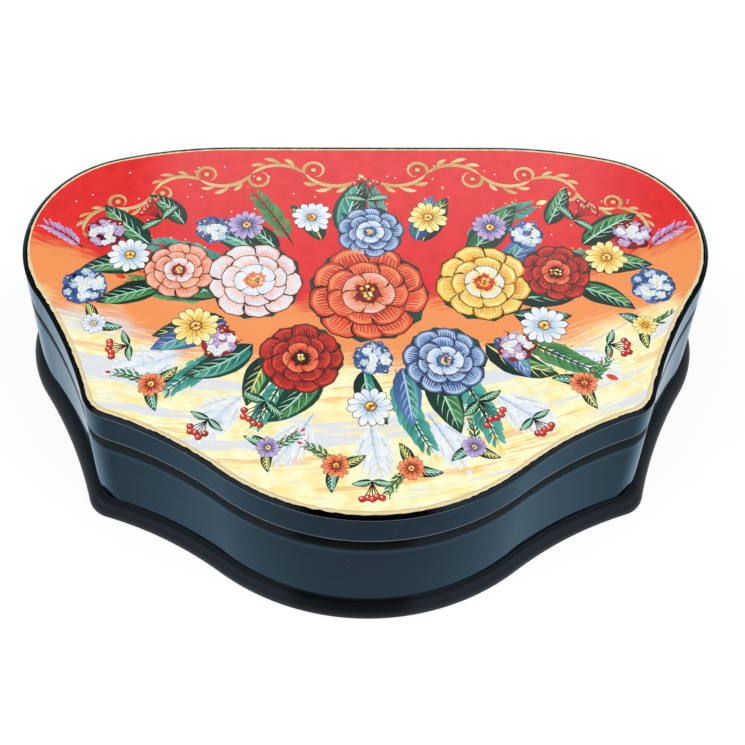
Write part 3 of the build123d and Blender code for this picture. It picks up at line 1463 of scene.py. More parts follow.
class StrokeTree:
    """Geometry Nodes tree that turns points into closed brush strokes, bent and swelling by attributes."""

    KEPT = ("along", "across", "tint")
    STEPS = 11
    WAVER = 0.35
    TINY = 0.0001
    TIP_SWELL = 0.04
    WELD = 1e-7
    SHIVERS = 4.0
    HANDS = 90.0

    def __init__(self) -> None:
        """Build the tree."""
        tree = Builder("BrushStrokes", "Steps", "Waver", "Finish")
        here = tree.node("GeometryNodeInputPosition")
        points = tree.store(tree.given("Geometry"), "foot", here)
        grid = {"Size X": 1.0, "Size Y": 1.0, "Vertices X": tree.given("Steps"), "Vertices Y": 2}
        blank = tree.store(tree.node("GeometryNodeMeshGrid", None, grid), "spot", here)
        copies = tree.node("GeometryNodeInstanceOnPoints", None, {"Points": points, "Instance": blank})
        strokes = tree.node("GeometryNodeRealizeInstances", None, {0: copies})
        spot_x, spot_y, _ = tree.apart(tree.named("spot", "FLOAT_VECTOR"))
        along = spot_x + 0.5
        side = spot_y * 2.0
        bend = tree.named("bend")
        half = abs(bend) * along * 0.5 + self.TINY
        chord = tree.named("length") * along * half.sin() / half
        way = tree.named("turn") + bend * along * 0.5
        head = tree.named("turn") + bend * along
        swell = ((along ** tree.named("belly")) * math.pi).sin().at_least(self.TINY)
        swell = (swell ** tree.named("fullness")).at_least(self.TIP_SWELL)
        hand = tree.together(along * self.SHIVERS, side, tree.named("tint") * self.HANDS)
        shiver = tree.noise(hand, 1.0) - 0.5
        reach = tree.named("width") * 0.5 * swell * (1.0 + shiver * tree.given("Waver")) * side
        foot_x, foot_y, foot_z = tree.apart(tree.named("foot", "FLOAT_VECTOR"))
        spread = tree.together(
            foot_x + chord * way.cos() - head.sin() * reach,
            foot_y + chord * way.sin() + head.cos() * reach,
            foot_z,
        )
        strokes = tree.store(strokes, "along", along, "FLOAT")
        strokes = tree.store(strokes, "across", side * 0.5 + 0.5, "FLOAT")
        strokes = tree.node("GeometryNodeSetPosition", None, {"Geometry": strokes, "Position": spread})
        lift = {"Offset": (0, 0, 1), "Offset Scale": tree.named("rise"), "Individual": False}
        raised = tree.node("GeometryNodeExtrudeMesh", {"mode": "FACES"}, {"Mesh": strokes, **lift})
        under = tree.node("GeometryNodeFlipFaces", None, {0: strokes})
        both = tree.node("GeometryNodeJoinGeometry", None, {0: [raised, under]})
        tree.end(tree.node("GeometryNodeMergeByDistance", None, {"Geometry": both, "Distance": self.WELD}))
        self.tree = tree

    def mesh(self, name: str, rows: np.ndarray, finish: Material) -> Mesh:
        """Make the strokes of one paint.

        Args:
            name: Name of the mesh.
            rows: One row for each stroke: its foot's three coordinates and the fields of Brush.
            finish: The paint.

        Returns:
            The strokes as one mesh.
        """
        cloud = bpy.data.meshes.new("Feet")
        cloud.from_pydata(rows[:, :3].tolist(), [], [])
        for column, title in enumerate(Brush.FIELDS, 3):
            values = np.ascontiguousarray(rows[:, column], dtype=np.float32)
            cloud.attributes.new(title, "FLOAT", "POINT").data.foreach_set("value", values)
        feet = linked("Feet", cloud)
        mesh = self.tree.run(feet, name, Steps=self.STEPS, Waver=self.WAVER, Finish=finish)
        for title in ("foot", "spot", *Brush.FIELDS):
            if title not in self.KEPT and title in mesh.attributes:
                mesh.attributes.remove(mesh.attributes[title])
        return mesh


class BorderTree:
    """Geometry Nodes tree for a hand-drawn line that follows an outline and thins out at the back."""

    PITCH = 0.4 * MM
    WAVES_PER_METRE = 520.0
    THINS_BETWEEN = (8.0 * MM, 32.0 * MM)
    THINS_BY = 0.5

    def __init__(self) -> None:
        """Build the tree."""
        tree = Builder("BorderLine", "Width", "Rise", "Waver", "Finish")
        place = tree.node("GeometryNodeInputPosition")
        path = {"Curve": tree.given("Geometry"), "Length": self.PITCH}
        evenly = tree.node("GeometryNodeResampleCurve", {"mode": "LENGTH"}, path)
        upright = tree.node("GeometryNodeSetCurveNormal", {"mode": "Z_UP"}, {0: evenly})
        sizes = {"Width": tree.given("Width"), "Height": tree.given("Rise")}
        section = tree.node("GeometryNodeCurvePrimitiveQuadrilateral", None, sizes)
        press = 1.0 + (tree.noise(place, self.WAVES_PER_METRE, 3.0) - 0.5) * tree.given("Waver")
        thin = 1.0 - tree.apart(place)[1].step(*self.THINS_BETWEEN) * self.THINS_BY
        parts = {"Curve": upright, "Profile Curve": section, "Scale": press * thin}
        tree.end(tree.node("GeometryNodeCurveToMesh", None, parts))
        self.tree = tree


class Tones(Enum):
    """Paints of a rose from its shade to its lights."""

    RED = (Paint.WINE, Paint.SCARLET, Paint.CORAL, Paint.BLUSH)
    WHITE = (Paint.CORAL, Paint.BLUSH, Paint.SNOW, Paint.SNOW)
    YELLOW = (Paint.SCARLET, Paint.AMBER, Paint.LEMON, Paint.SNOW)
    BRICK = (Paint.UMBER, Paint.WINE, Paint.SCARLET, Paint.CORAL)
    BLUE = (Paint.COBALT, Paint.COBALT, Paint.ICE, Paint.SNOW)
    PINK = (Paint.WINE, Paint.CORAL, Paint.BLUSH, Paint.SNOW)


class Brush:
    """Paints folk flowers stroke by stroke. Lengths are in millimetres and angles in radians."""

    FIELDS = ("turn", "length", "width", "bend", "belly", "fullness", "rise", "tint")
    GROUND_RISE = 0.024
    LAYER_RISE = 0.0014
    STROKE_RISE = 0.00002
    STROKE_CYCLE = 64

    def __init__(self, edge: Sequence[Point], top: float, seed: int) -> None:
        """Start with a clean lid.

        Args:
            edge: Outline that the strokes stay inside of, in metres.
            top: Height of the lid, in metres.
            seed: Start of the random numbers.
        """
        self.edge = np.array(edge) / MM
        self.top = top
        self.rng = random.Random(seed)
        self.count = 0
        self.strokes: dict[Paint, list[tuple[float, ...]]] = {paint: [] for paint in Paint}

    @staticmethod
    def spokes(count: int, spin: float = 0.0) -> list[float]:
        """Bearings at even steps all round."""
        return [spin + math.tau * index / count for index in range(count)]

    @staticmethod
    def mirrored(bearing: float, side: int) -> float:
        """A bearing on the right side, or its mirror image where side is minus one."""
        return bearing if side > 0 else math.pi - bearing

    @staticmethod
    def away(start: Point, reach: float, bearing: float) -> Point:
        """Point at a distance and bearing from another."""
        return start[0] + reach * math.cos(bearing), start[1] + reach * math.sin(bearing)

    @classmethod
    def beside(cls, start: Point, turn: float, forward: float, left: float) -> Point:
        """Point ahead of and to the left of another, seen along a bearing."""
        return cls.away(cls.away(start, forward, turn), left, turn + math.pi / 2)

    @classmethod
    def along(cls, start: Point, turn: float, length: float, bend: float, share: float) -> Point:
        """Point on a bent line, at a share of its length."""
        half = abs(bend) * share / 2 + 1e-6
        return cls.away(start, length * share * math.sin(half) / half, turn + bend * share / 2)

    def inside(self, point: Point) -> bool:
        """Whether a point lies within the painting's edge.

        Args:
            point: The point.

        Returns:
            True where a line from it crosses the edge an odd number of times.
        """
        x, y = point
        first, second = self.edge, np.roll(self.edge, -1, axis=0)
        spans = (first[:, 1] > y) != (second[:, 1] > y)
        first, second = first[spans], second[spans]
        cross = first[:, 0] + (y - first[:, 1]) / (second[:, 1] - first[:, 1]) * (second[:, 0] - first[:, 0])
        return bool(np.count_nonzero(cross > x) % 2)

    def fits(self, start: Point, turn: float, length: float, bend: float) -> bool:
        """Whether a bent line lies within the painting's edge."""
        shares = (0.0, 0.25, 0.5, 0.75, 1.0)
        return all(self.inside(self.along(start, turn, length, bend, share)) for share in shares)

    def daub(
        self,
        paint: Paint,
        start: Point,
        turn: float,
        length: float,
        width: float,
        layer: float,
        bend: float = 0.0,
        belly: float = 1.0,
        full: float = 0.8,
    ) -> None:
        """Lay one stroke, unless it would leave the painting.

        Args:
            paint: The paint.
            start: Where the brush comes down.
            turn: Bearing in which it sets off.
            length: Length of the stroke.
            width: Its greatest width.
            layer: Its place in the layers, from the ground up.
            bend: How far it turns to the left on its way.
            belly: Under one for a stroke that is widest near its start, over one for near its end.
            full: Small for a blunt stroke, large for a slender one.
        """
        if not self.fits(start, turn, length, bend):
            return
        self.count += 1
        turn_of_cycle = self.count % self.STROKE_CYCLE
        rise = self.GROUND_RISE + self.LAYER_RISE * layer + self.STROKE_RISE * turn_of_cycle
        place = (start[0] * MM, start[1] * MM, self.top)
        shape = (turn, length * MM, width * MM, bend, belly, full, rise * MM, self.rng.random())
        self.strokes[paint].append((*place, *shape))

    def dot(self, paint: Paint, at: Point, size: float, layer: float) -> None:
        """Round touch of the brush's tip."""
        turn = self.rng.uniform(0, math.tau)
        self.daub(paint, self.away(at, -size / 2, turn), turn, size, size, layer, full=0.5)

    def petal(
        self, start: Point, turn: float, length: float, breadth: float, tones: Sequence[Paint], layer: float
    ) -> None:
        """Petal with a shaded foot, a lit rim and fine hairs.

        Args:
            start: Its foot.
            turn: Bearing in which it grows.
            length: Length.
            breadth: Greatest width.
            tones: Shade, main paint and light.
            layer: First layer.
        """
        deep, main, light = tones
        back = self.away(start, -0.02 * length, turn)
        self.daub(Paint.UMBER, back, turn, length * 1.05, breadth * 1.10, layer, belly=1.8, full=0.42)
        self.daub(main, start, turn, length, breadth, layer + 1, belly=1.8, full=0.42)
        for lean in (-0.26, -0.10, 0.08, 0.28):
            reach = length * self.rng.uniform(0.42, 0.66)
            self.daub(deep, start, turn + lean, reach, breadth * 0.17, layer + 2, belly=0.8, full=0.9)
        rim = self.beside(start, turn, length * 0.70, breadth * 0.42)
        arc = 1.78
        aim = turn - math.pi / 2 + arc / 2
        self.daub(light, rim, aim, breadth * 0.96, breadth * 0.13, layer + 3, bend=-arc, full=0.6)
        for hair in range(-4, 5):
            tip = self.beside(start, turn, length * (0.93 - 0.013 * hair * hair), breadth * 0.095 * hair)
            reach = length * self.rng.uniform(0.22, 0.46)
            aim = turn + math.pi - 0.04 * hair
            self.daub(light, tip, aim, reach, breadth * 0.04 + 0.1, layer + 3, belly=0.5)

    def rose(self, at: Point, size: float, tones: Tones, layer: float) -> None:
        """Full rose of three rings of petals.

        Args:
            at: Its heart.
            size: Its radius.
            tones: Its paints.
            layer: First layer.
        """
        deep, main, light, glint = tones.value
        spin = self.rng.uniform(0, math.tau)
        for turn in self.spokes(11, spin):
            self.daub(Paint.PINE, at, turn, size * 1.05, size * 0.62, layer, belly=2.0, full=0.4)
        # Number of petals, their foot, length and breadth as shares of the radius, and their paints
        rings = (
            (9, 0.30, 0.72, 0.64, (deep, main, light)),
            (7, 0.12, 0.60, 0.58, (deep, main, light)),
            (5, 0.02, 0.42, 0.48, (deep, light, glint)),
        )
        for ring, (count, foot, reach, breadth, paints) in enumerate(rings):
            for petal, spoke in enumerate(self.spokes(count, spin + 0.5 * ring)):
                turn = spoke + self.rng.uniform(-0.09, 0.09)
                grow = size * self.rng.uniform(0.93, 1.05)
                start = self.away(at, size * foot, turn)
                step = layer + 1 + 40 * ring + 4 * petal
                self.petal(start, turn, reach * grow, breadth * grow, paints, step)
        for turn in self.spokes(7, spin):
            start = self.away(at, size * 0.20, turn)
            self.daub(deep, start, turn + 1.9, size * 0.26, size * 0.08, layer + 121, bend=1.4, belly=0.6)
        for turn in self.spokes(8, spin):
            spot = self.away(at, size * self.rng.uniform(0.03, 0.15), turn)
            self.dot(self.rng.choice((Paint.LEMON, Paint.AMBER)), spot, size * 0.06 + 0.15, layer + 122)

    def daisy(self, at: Point, size: float, petals: Paint, shade: Paint, layer: float) -> None:
        """Open flower with a ring of narrow petals.

        Args:
            at: Its eye.
            size: Its radius.
            petals: Paint of the petals.
            shade: Paint of their veins.
            layer: First layer.
        """
        spin = self.rng.uniform(0, math.tau)
        for petal, spoke in enumerate(self.spokes(13, spin)):
            turn = spoke + self.rng.uniform(-0.07, 0.07)
            grow = size * self.rng.uniform(0.88, 1.08)
            start = self.away(at, size * 0.16, turn)
            step = layer + 3 * petal
            self.daub(Paint.UMBER, start, turn, 0.87 * grow, 0.40 * size, step, belly=1.7, full=0.45)
            self.daub(petals, start, turn, 0.84 * grow, 0.36 * size, step + 1, belly=1.7, full=0.45)
            for lean in (-0.10, 0.08):
                reach = grow * self.rng.uniform(0.35, 0.6)
                self.daub(shade, start, turn + lean, reach, 0.08 * size, step + 2, belly=0.6)
        self.dot(Paint.UMBER, at, size * 0.54, layer + 40)
        self.dot(Paint.AMBER, at, size * 0.46, layer + 41)
        for turn in self.spokes(10, spin):
            paint = self.rng.choice((Paint.LEMON, Paint.LEMON, Paint.SCARLET))
            self.dot(paint, self.away(at, size * 0.15, turn), size * 0.08 + 0.1, layer + 42)
        self.dot(Paint.PINE, at, size * 0.12, layer + 42)

    def posy(self, at: Point, size: float, petals: Paint, shade: Paint, layer: float) -> None:
        """Small daisy with leaves and a sprig.

        Args:
            at: Its eye.
            size: Radius of the flower.
            petals: Paint of the petals.
            shade: Paint of their veins.
            layer: First layer.
        """
        turn = self.rng.uniform(0, math.tau)
        self.spray(at, turn, size * 3.0, 0.5, (Paint.UMBER, Paint.LEAF, Paint.SCARLET), layer)
        for lean, paints in (
            (2.1, (Paint.PINE, Paint.TEAL, Paint.MINT)),
            (-2.1, (Paint.PINE, Paint.LEAF, Paint.LEMON)),
        ):
            self.leaf(at, turn + lean, size * 2.3, 0.5, paints, layer + 2)
        self.daisy(at, size, petals, shade, layer + 6)

    def leaf(
        self, start: Point, turn: float, length: float, bend: float, paints: Sequence[Paint], layer: float
    ) -> None:
        """Leaf with one lit half, a rib and veins.

        Args:
            start: Its stalk.
            turn: Bearing in which it grows.
            length: Length.
            bend: How far it curls.
            paints: Dark half, light half and veins.
            layer: First layer.
        """
        if not self.fits(start, turn, length, bend):
            return
        dark, fair, vein = paints
        breadth = length * 0.40
        self.daub(dark, start, turn, length, breadth, layer, bend, belly=0.8, full=0.8)
        for shift in (0.10, 0.19):
            lit = self.beside(start, turn, length * 0.08, breadth * shift)
            self.daub(fair, lit, turn, length * 0.82, breadth * 0.3, layer + 1, bend, belly=0.9)
        rib = 0.3 + length * 0.012
        self.daub(vein, start, turn, length * 0.94, rib, layer + 2, bend, belly=0.5, full=0.5)
        for share in (0.22, 0.36, 0.50, 0.64, 0.78):
            root = self.along(start, turn, length, bend, share)
            for side in (-1, 1):
                heading = turn + bend * share + side * 0.75
                reach = breadth * 0.62 * math.sin(math.pi * share**0.8)
                self.daub(vein, root, heading, reach, 0.28, layer + 2, -side * 0.5, belly=0.5)

    def spray(
        self, start: Point, turn: float, length: float, bend: float, paints: Sequence[Paint], layer: float
    ) -> None:
        """Feathery stem with leaflets on both sides and a bud.

        Args:
            start: Its foot.
            turn: Bearing in which it sets off.
            length: Length of the stem.
            bend: How far it curls.
            paints: Stem, leaflets and tips.
            layer: First layer.
        """
        if not self.fits(start, turn, length, bend):
            return
        stem, blade, tip = paints
        self.daub(stem, start, turn, length, 0.35 + length * 0.012, layer, bend, belly=0.5, full=0.4)
        pairs = max(5, round(length / 2.6))
        for pair in range(pairs):
            share = 0.16 + 0.80 * pair / pairs
            root = self.along(start, turn, length, bend, share)
            reach = length * 0.20 * math.sin(math.pi * (0.2 + 0.72 * share)) + 0.8
            for side in (-1, 1):
                heading = turn + bend * share + side * self.rng.uniform(0.65, 0.9)
                self.daub(blade, root, heading, reach, reach * 0.30, layer + 1, -side * 0.6, belly=1.3)
                if self.rng.random() < 0.45:
                    self.dot(tip, self.away(root, reach * 1.12, heading - side * 0.25), 0.55, layer + 2)
        end = self.along(start, turn, length, bend, 1.0)
        self.daub(tip, end, turn + bend, length * 0.10 + 0.6, length * 0.05 + 0.3, layer + 2)

    def berries(self, start: Point, turn: float, length: float, paint: Paint, layer: float) -> None:
        """Twig with a cluster of shining berries.

        Args:
            start: Its foot.
            turn: Bearing in which it grows.
            length: Length of the twig.
            paint: Paint of the berries.
            layer: First layer.
        """
        for side in (-1, 1):
            greens = (Paint.PINE, Paint.LEAF, Paint.MINT)
            self.leaf(start, turn + side * 1.15, length * 0.85, side * 0.5, greens, layer)
        for lean in (-0.5, -0.25, 0.0, 0.25, 0.5):
            reach = length * self.rng.uniform(0.75, 1.0)
            self.daub(Paint.UMBER, start, turn + lean * 0.4, reach, 0.3, layer, bend=lean, full=0.4)
            end = self.along(start, turn + lean * 0.4, reach, lean, 1.0)
            self.dot(Paint.WINE, end, 2.2, layer + 1)
            self.dot(paint, self.away(end, 0.15, 2.2), 1.7, layer + 2)
            self.dot(Paint.SNOW, self.away(end, 0.45, 2.2), 0.55, layer + 3)

    def floret(self, at: Point, size: float, paint: Paint, layer: float) -> None:
        """Tiny flower of five touches round a bright eye.

        Args:
            at: Its eye.
            size: Its width.
            paint: Paint of the touches.
            layer: Layer.
        """
        spin = self.rng.uniform(0, math.tau)
        for turn in self.spokes(5, spin):
            self.dot(paint, self.away(at, size * 0.30, turn), size * 0.46, layer)
        self.dot(Paint.LEMON, at, size * 0.26, layer + 1)

    def head(self, at: Point, reach: float, paints: Sequence[Paint], layer: float) -> None:
        """Round head of many florets, dark below and light on top.

        Args:
            at: Its middle.
            reach: Its radius.
            paints: Paints from the bottom up.
            layer: First layer.
        """
        for turn in self.spokes(7):
            self.dot(paints[0], self.away(at, reach * 0.55, turn), reach * 0.9, layer - 1)
        count = round(reach * reach * 1.2)
        for index in range(count):
            share = index / count
            spread = reach * math.sqrt(self.rng.random()) * (1 - 0.35 * share)
            spot = self.away(at, spread, self.rng.uniform(0, math.tau))
            paint = paints[int(share * len(paints))]
            self.floret(spot, self.rng.uniform(2.0, 2.9), paint, layer + 12 * share)

    def vine(self, points: Sequence[Point], hand: int, paint: Paint, layer: float) -> None:
        """Running vine with a curl, a bud and leaves at every bow.

        Args:
            points: Places that the stem passes.
            hand: One where the first bow turns to the left, minus one for the right.
            paint: Paint of the stem.
            layer: First layer.
        """
        for start, end in zip(points, points[1:]):
            bend = hand * 1.7
            chord = math.dist(start, end)
            turn = math.atan2(end[1] - start[1], end[0] - start[0]) - bend / 2
            length = chord * (bend / 2) / math.sin(bend / 2)
            self.daub(paint, start, turn, length, 1.3, layer, bend, full=0.3)
            self.daub(paint, end, turn + bend, chord * 0.95, 1.1, layer, hand * 5.2, belly=0.6, full=0.6)
            bud = self.beside(end, turn + bend, 0.0, hand * chord * 0.95 / 5.2)
            for size, tone in ((2.6, Paint.WINE), (2.0, Paint.CORAL), (0.8, Paint.LEMON)):
                self.dot(tone, bud, size, layer + 4 - size)
            for share, reach in ((0.22, 0.30), (0.45, 0.38), (0.68, 0.32)):
                root = self.along(start, turn, length, bend, share)
                heading = turn + bend * share - hand * 0.8
                self.daub(paint, root, heading, chord * reach, chord * 0.085, layer, hand * 0.9, belly=1.5)
            hand = -hand

    def fern(self, start: Point, turn: float, length: float, paints: Sequence[Paint], layer: float) -> None:
        """Spray of sprays, as frost grows on glass.

        Args:
            start: Its foot.
            turn: Bearing in which it grows.
            length: Length of its stem.
            paints: Stem, leaflets and tips.
            layer: First layer.
        """
        bend = self.rng.uniform(-0.5, 0.5)
        self.spray(start, turn, length, bend, paints, layer + 2)
        for share in (0.18, 0.38, 0.58):
            root = self.along(start, turn, length, bend, share)
            for side in (-1, 1):
                heading = turn + bend * share + side * 0.7
                self.spray(root, heading, length * (0.62 - 0.5 * share), -side * 0.5, paints, layer)


@dataclass
class LidPainting(Shell):
    """The lid's painting: a ground, a drawn border and a bouquet in the folk manner."""

    BODY = Body.LID
    edge: float = -1.95 * MM
    border_centre: float = -2.02 * MM
    border_width: float = 1.20 * MM
    border_rise: float = 0.12 * MM
    border_waver: float = 1.5
    border_paint: PaintFinish = PaintFinish((0.84, 0.67, 0.36), (0.87, 0.77, 0.52))
    ground_rise: float = 0.02 * MM
    margin: float = -3.0 * MM
    seed: int = 11

    def build(self) -> None:
        """Make and place the pieces."""
        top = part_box("lid_board")[1].z
        ground = Profile.layer(self.edge, top, self.ground_rise)
        self.place("painted_ground", ground, GroundFinish().material(), Slot.PAINTED)
        self.build_border(top)
        brush = Brush(self.plan.loop(self.margin), top, self.seed)
        self.paint_back(brush)
        self.paint_front(brush)
        self.paint_foliage(brush)
        self.paint_flowers(brush)
        trees = StrokeTree()
        for paint, rows in brush.strokes.items():
            finish = paint.value.material(paint.piece_name)
            mesh = trees.mesh(paint.piece_name, np.array(rows), finish)
            add_piece(paint.piece_name, mesh, self.BODY)
        LOG.info("%d strokes", brush.count)

    def build_border(self, top: float) -> None:
        """Cream line round the painting, half sunk into the ground.

        Args:
            top: Height of the lid.
        """
        level = top + self.ground_rise / 2
        outline = [(x, y, level) for x, y in self.plan.loop(self.border_centre)]
        mesh = BorderTree().tree.run(
            poly_curve("BorderPath", outline, True),
            "painted_border",
            Width=self.border_width,
            Rise=self.border_rise,
            Waver=self.border_waver,
            Finish=self.border_paint.material("painted_border"),
        )
        add_piece("painted_border", finished(mesh, smooth=False), self.BODY)

    def paint_back(self, brush: Brush) -> None:
        """Gold vine and lilac sprays on the red at the back.

        Args:
            brush: The brush that lays the strokes.
        """
        stem = ((2, 55), (19, 57), (36, 57), (52, 54.5), (66, 50), (78, 43), (87, 33.5))
        lilac = (Paint.WINE, Paint.LILAC, Paint.BLUSH)
        for side in (-1, 1):
            brush.vine([(side * x, y) for x, y in stem], side, Paint.GOLD, 1)
            for x, y, turn, length in ((86, 26, 0.9, 18), (80, 14, 0.1, 18)):
                brush.spray((side * x, y), brush.mirrored(turn, side), length, side * -0.5, lilac, 6)
        for _ in range(60):
            brush.dot(Paint.SNOW, (brush.rng.uniform(-92, 92), brush.rng.uniform(30, 63)), 0.55, 2)

    def paint_front(self, brush: Brush) -> None:
        """Frost ferns and small flowers on the gold at the front.

        Args:
            brush: The brush that lays the strokes.
        """
        frost = (Paint.ICE, Paint.SNOW, Paint.SNOW)
        for x, y, turn, length in (
            (0, -36, -1.57, 22),
            (-16, -34, -2.1, 22),
            (16, -34, -1.05, 22),
            (-34, -26, -2.45, 24),
            (34, -26, -0.7, 24),
            (-52, -12, -2.75, 24),
            (52, -12, -0.4, 24),
        ):
            brush.fern((x, y), turn, length, frost, 8)
        for x, y, size, petals, shade in (
            (-10, -52, 4.0, Paint.CORAL, Paint.WINE),
            (11, -53, 4.0, Paint.CORAL, Paint.WINE),
            (-29, -46, 3.6, Paint.LILAC, Paint.COBALT),
            (29, -46, 3.6, Paint.LILAC, Paint.COBALT),
            (-63, -24, 4.2, Paint.CORAL, Paint.WINE),
            (62, -24, 4.2, Paint.CORAL, Paint.WINE),
            (-81, -2, 3.8, Paint.SNOW, Paint.ICE),
            (82, -3, 3.8, Paint.LEMON, Paint.AMBER),
        ):
            brush.posy((x, y), size, petals, shade, 16)
        twigs = ((-46, -36, -2.2), (46, -36, -0.9), (0, -57, -1.57), (-70, -10, -2.9), (70, -10, -0.2))
        for x, y, turn in twigs:
            brush.berries((x, y), turn, 7, Paint.SCARLET, 16)

    def paint_foliage(self, brush: Brush) -> None:
        """Leaves and sprays that stand out all round the bouquet.

        Args:
            brush: The brush that lays the strokes.
        """
        greens = (
            (Paint.PINE, Paint.LEAF, Paint.MINT),
            (Paint.PINE, Paint.TEAL, Paint.MINT),
            (Paint.PINE, Paint.LEAF, Paint.LEMON),
            (Paint.COBALT, Paint.TEAL, Paint.ICE),
        )
        feathers = ((Paint.PINE, Paint.TEAL, Paint.LEMON), (Paint.UMBER, Paint.LEAF, Paint.SCARLET))
        for index, spoke in enumerate(brush.spokes(34)):
            turn = spoke + brush.rng.uniform(-0.08, 0.08)
            foot = (44 * math.cos(turn), 6 + 25 * math.sin(turn))
            bearing = math.atan2(1.3 * math.sin(turn), math.cos(turn))
            bend = brush.rng.uniform(-0.8, 0.8)
            if index % 3 == 2:
                paints = brush.rng.choice(feathers)
                brush.spray(foot, bearing, brush.rng.uniform(24, 34), bend, paints, 16)
            else:
                length = brush.rng.uniform(17, 26)
                brush.leaf(foot, bearing, length, bend, greens[index % 4], 20 + 3 * (index % 2))
        outer = ((66, 20, 0.2, 21), (66, 28, 0.75, 22), (62, 12, -0.25, 20), (56, 36, 1.1, 17))
        for side in (-1, 1):
            for x, y, turn, length in outer:
                bend = side * brush.rng.uniform(-0.6, 0.6)
                brush.leaf((side * x, y), brush.mirrored(turn, side), length, bend, greens[0], 27)

    def paint_flowers(self, brush: Brush) -> None:
        """Roses, daisies and berries.

        Args:
            brush: The brush that lays the strokes.
        """
        for x, y, size, petals, shade in (
            (-72, 24, 6.5, Paint.SNOW, Paint.ICE),
            (73, 23, 6.5, Paint.LEMON, Paint.AMBER),
            (-51, -3, 7.0, Paint.LEMON, Paint.AMBER),
            (52, -3, 7.0, Paint.SNOW, Paint.ICE),
            (-17, 39, 6.2, Paint.SNOW, Paint.ICE),
            (19, 39, 6.2, Paint.LEMON, Paint.AMBER),
            (0, -32, 6.8, Paint.SNOW, Paint.ICE),
            (-37, 36, 5.6, Paint.LILAC, Paint.COBALT),
            (38, 35, 5.6, Paint.LILAC, Paint.COBALT),
        ):
            brush.daisy((x, y), size, petals, shade, 32)
        for x, y, turn in ((-63, 38, 2.3), (64, 38, 0.8), (-30, -30, -2.2), (31, -30, -0.9), (0, 46, 1.57)):
            brush.berries((x, y), turn, 9, Paint.SCARLET, 32)
        frosty = (Paint.COBALT, Paint.COBALT, Paint.ICE, Paint.SNOW)
        lilac = (Paint.WINE, Paint.LILAC, Paint.LILAC, Paint.SNOW)
        for x, y, reach, paints in (
            (-85, 12, 7.0, frosty),
            (86, 12, 7.0, frosty),
            (-47, 34, 5.5, frosty),
            (49, 32, 5.5, frosty),
            (1, -15, 6.0, frosty),
            (-44, -9, 5.5, lilac),
            (43, -11, 5.5, lilac),
            (-80, 33, 6.0, lilac),
            (82, 32, 6.0, lilac),
        ):
            brush.head((x, y), reach, paints, 30)
        for x, y, size, tones in (
            (-57, 18, 10.5, Tones.PINK),
            (57, 17, 10.5, Tones.BRICK),
            (1, 33, 10.0, Tones.BLUE),
            (-20, -15, 12.0, Tones.BRICK),
            (22, -16, 12.0, Tones.BLUE),
            (-34, 14, 14.0, Tones.WHITE),
            (35, 13, 14.0, Tones.YELLOW),
            (0, 9, 17.5, Tones.RED),
        ):
            brush.rose((x, y), size, tones, 40)


# Studio


@dataclass(frozen=True)
class Panel:
    """Soft light panel, by where it stands, what it faces, its size and its radiance."""

    name: str
    place: Place
    aim: Place
    size: Point
    radiance: float

    def build(self) -> None:
        """Put the light in the scene, where the camera and the polish don't see it."""
        light = bpy.data.lights.new(self.name, "AREA")
        light.shape = "RECTANGLE"
        light.size, light.size_y = self.size
        light.energy = self.radiance * math.pi * self.size[0] * self.size[1]
        lamp = linked(self.name, light)
        way = Vector(self.aim) - Vector(self.place)
        turned = way.to_track_quat("-Z", "Y").to_matrix().to_4x4()
        lamp.matrix_world = Matrix.Translation(self.place) @ turned
        lamp.visible_camera = False
        lamp.visible_glossy = False


@dataclass(frozen=True)
class Patch:
    """Soft-edged part of the room, by its light and the steps that bound it.

    The steps are in the numbers of the direction that it is seen in: across to the right, aside to either
    side, back, and height.
    """

    light: Colour
    across: tuple[Point, ...] = ()
    aside: tuple[Point, ...] = ()
    back: tuple[Point, ...] = ()
    height: tuple[Point, ...] = ()

    def over(self, tree: Graph, room: Any, axes: Mapping[str, Wire]) -> Wire:
        """Lay the patch over the rest of the room.

        Args:
            tree: The world's nodes.
            room: Light of the rest.
            axes: The direction's numbers, by the names of the fields.

        Returns:
            The light with the patch.
        """
        steps = [axis.step(*edge) for name, axis in axes.items() for edge in getattr(self, name)]
        return tree.mix(reduce(mul, steps), room, self.light)


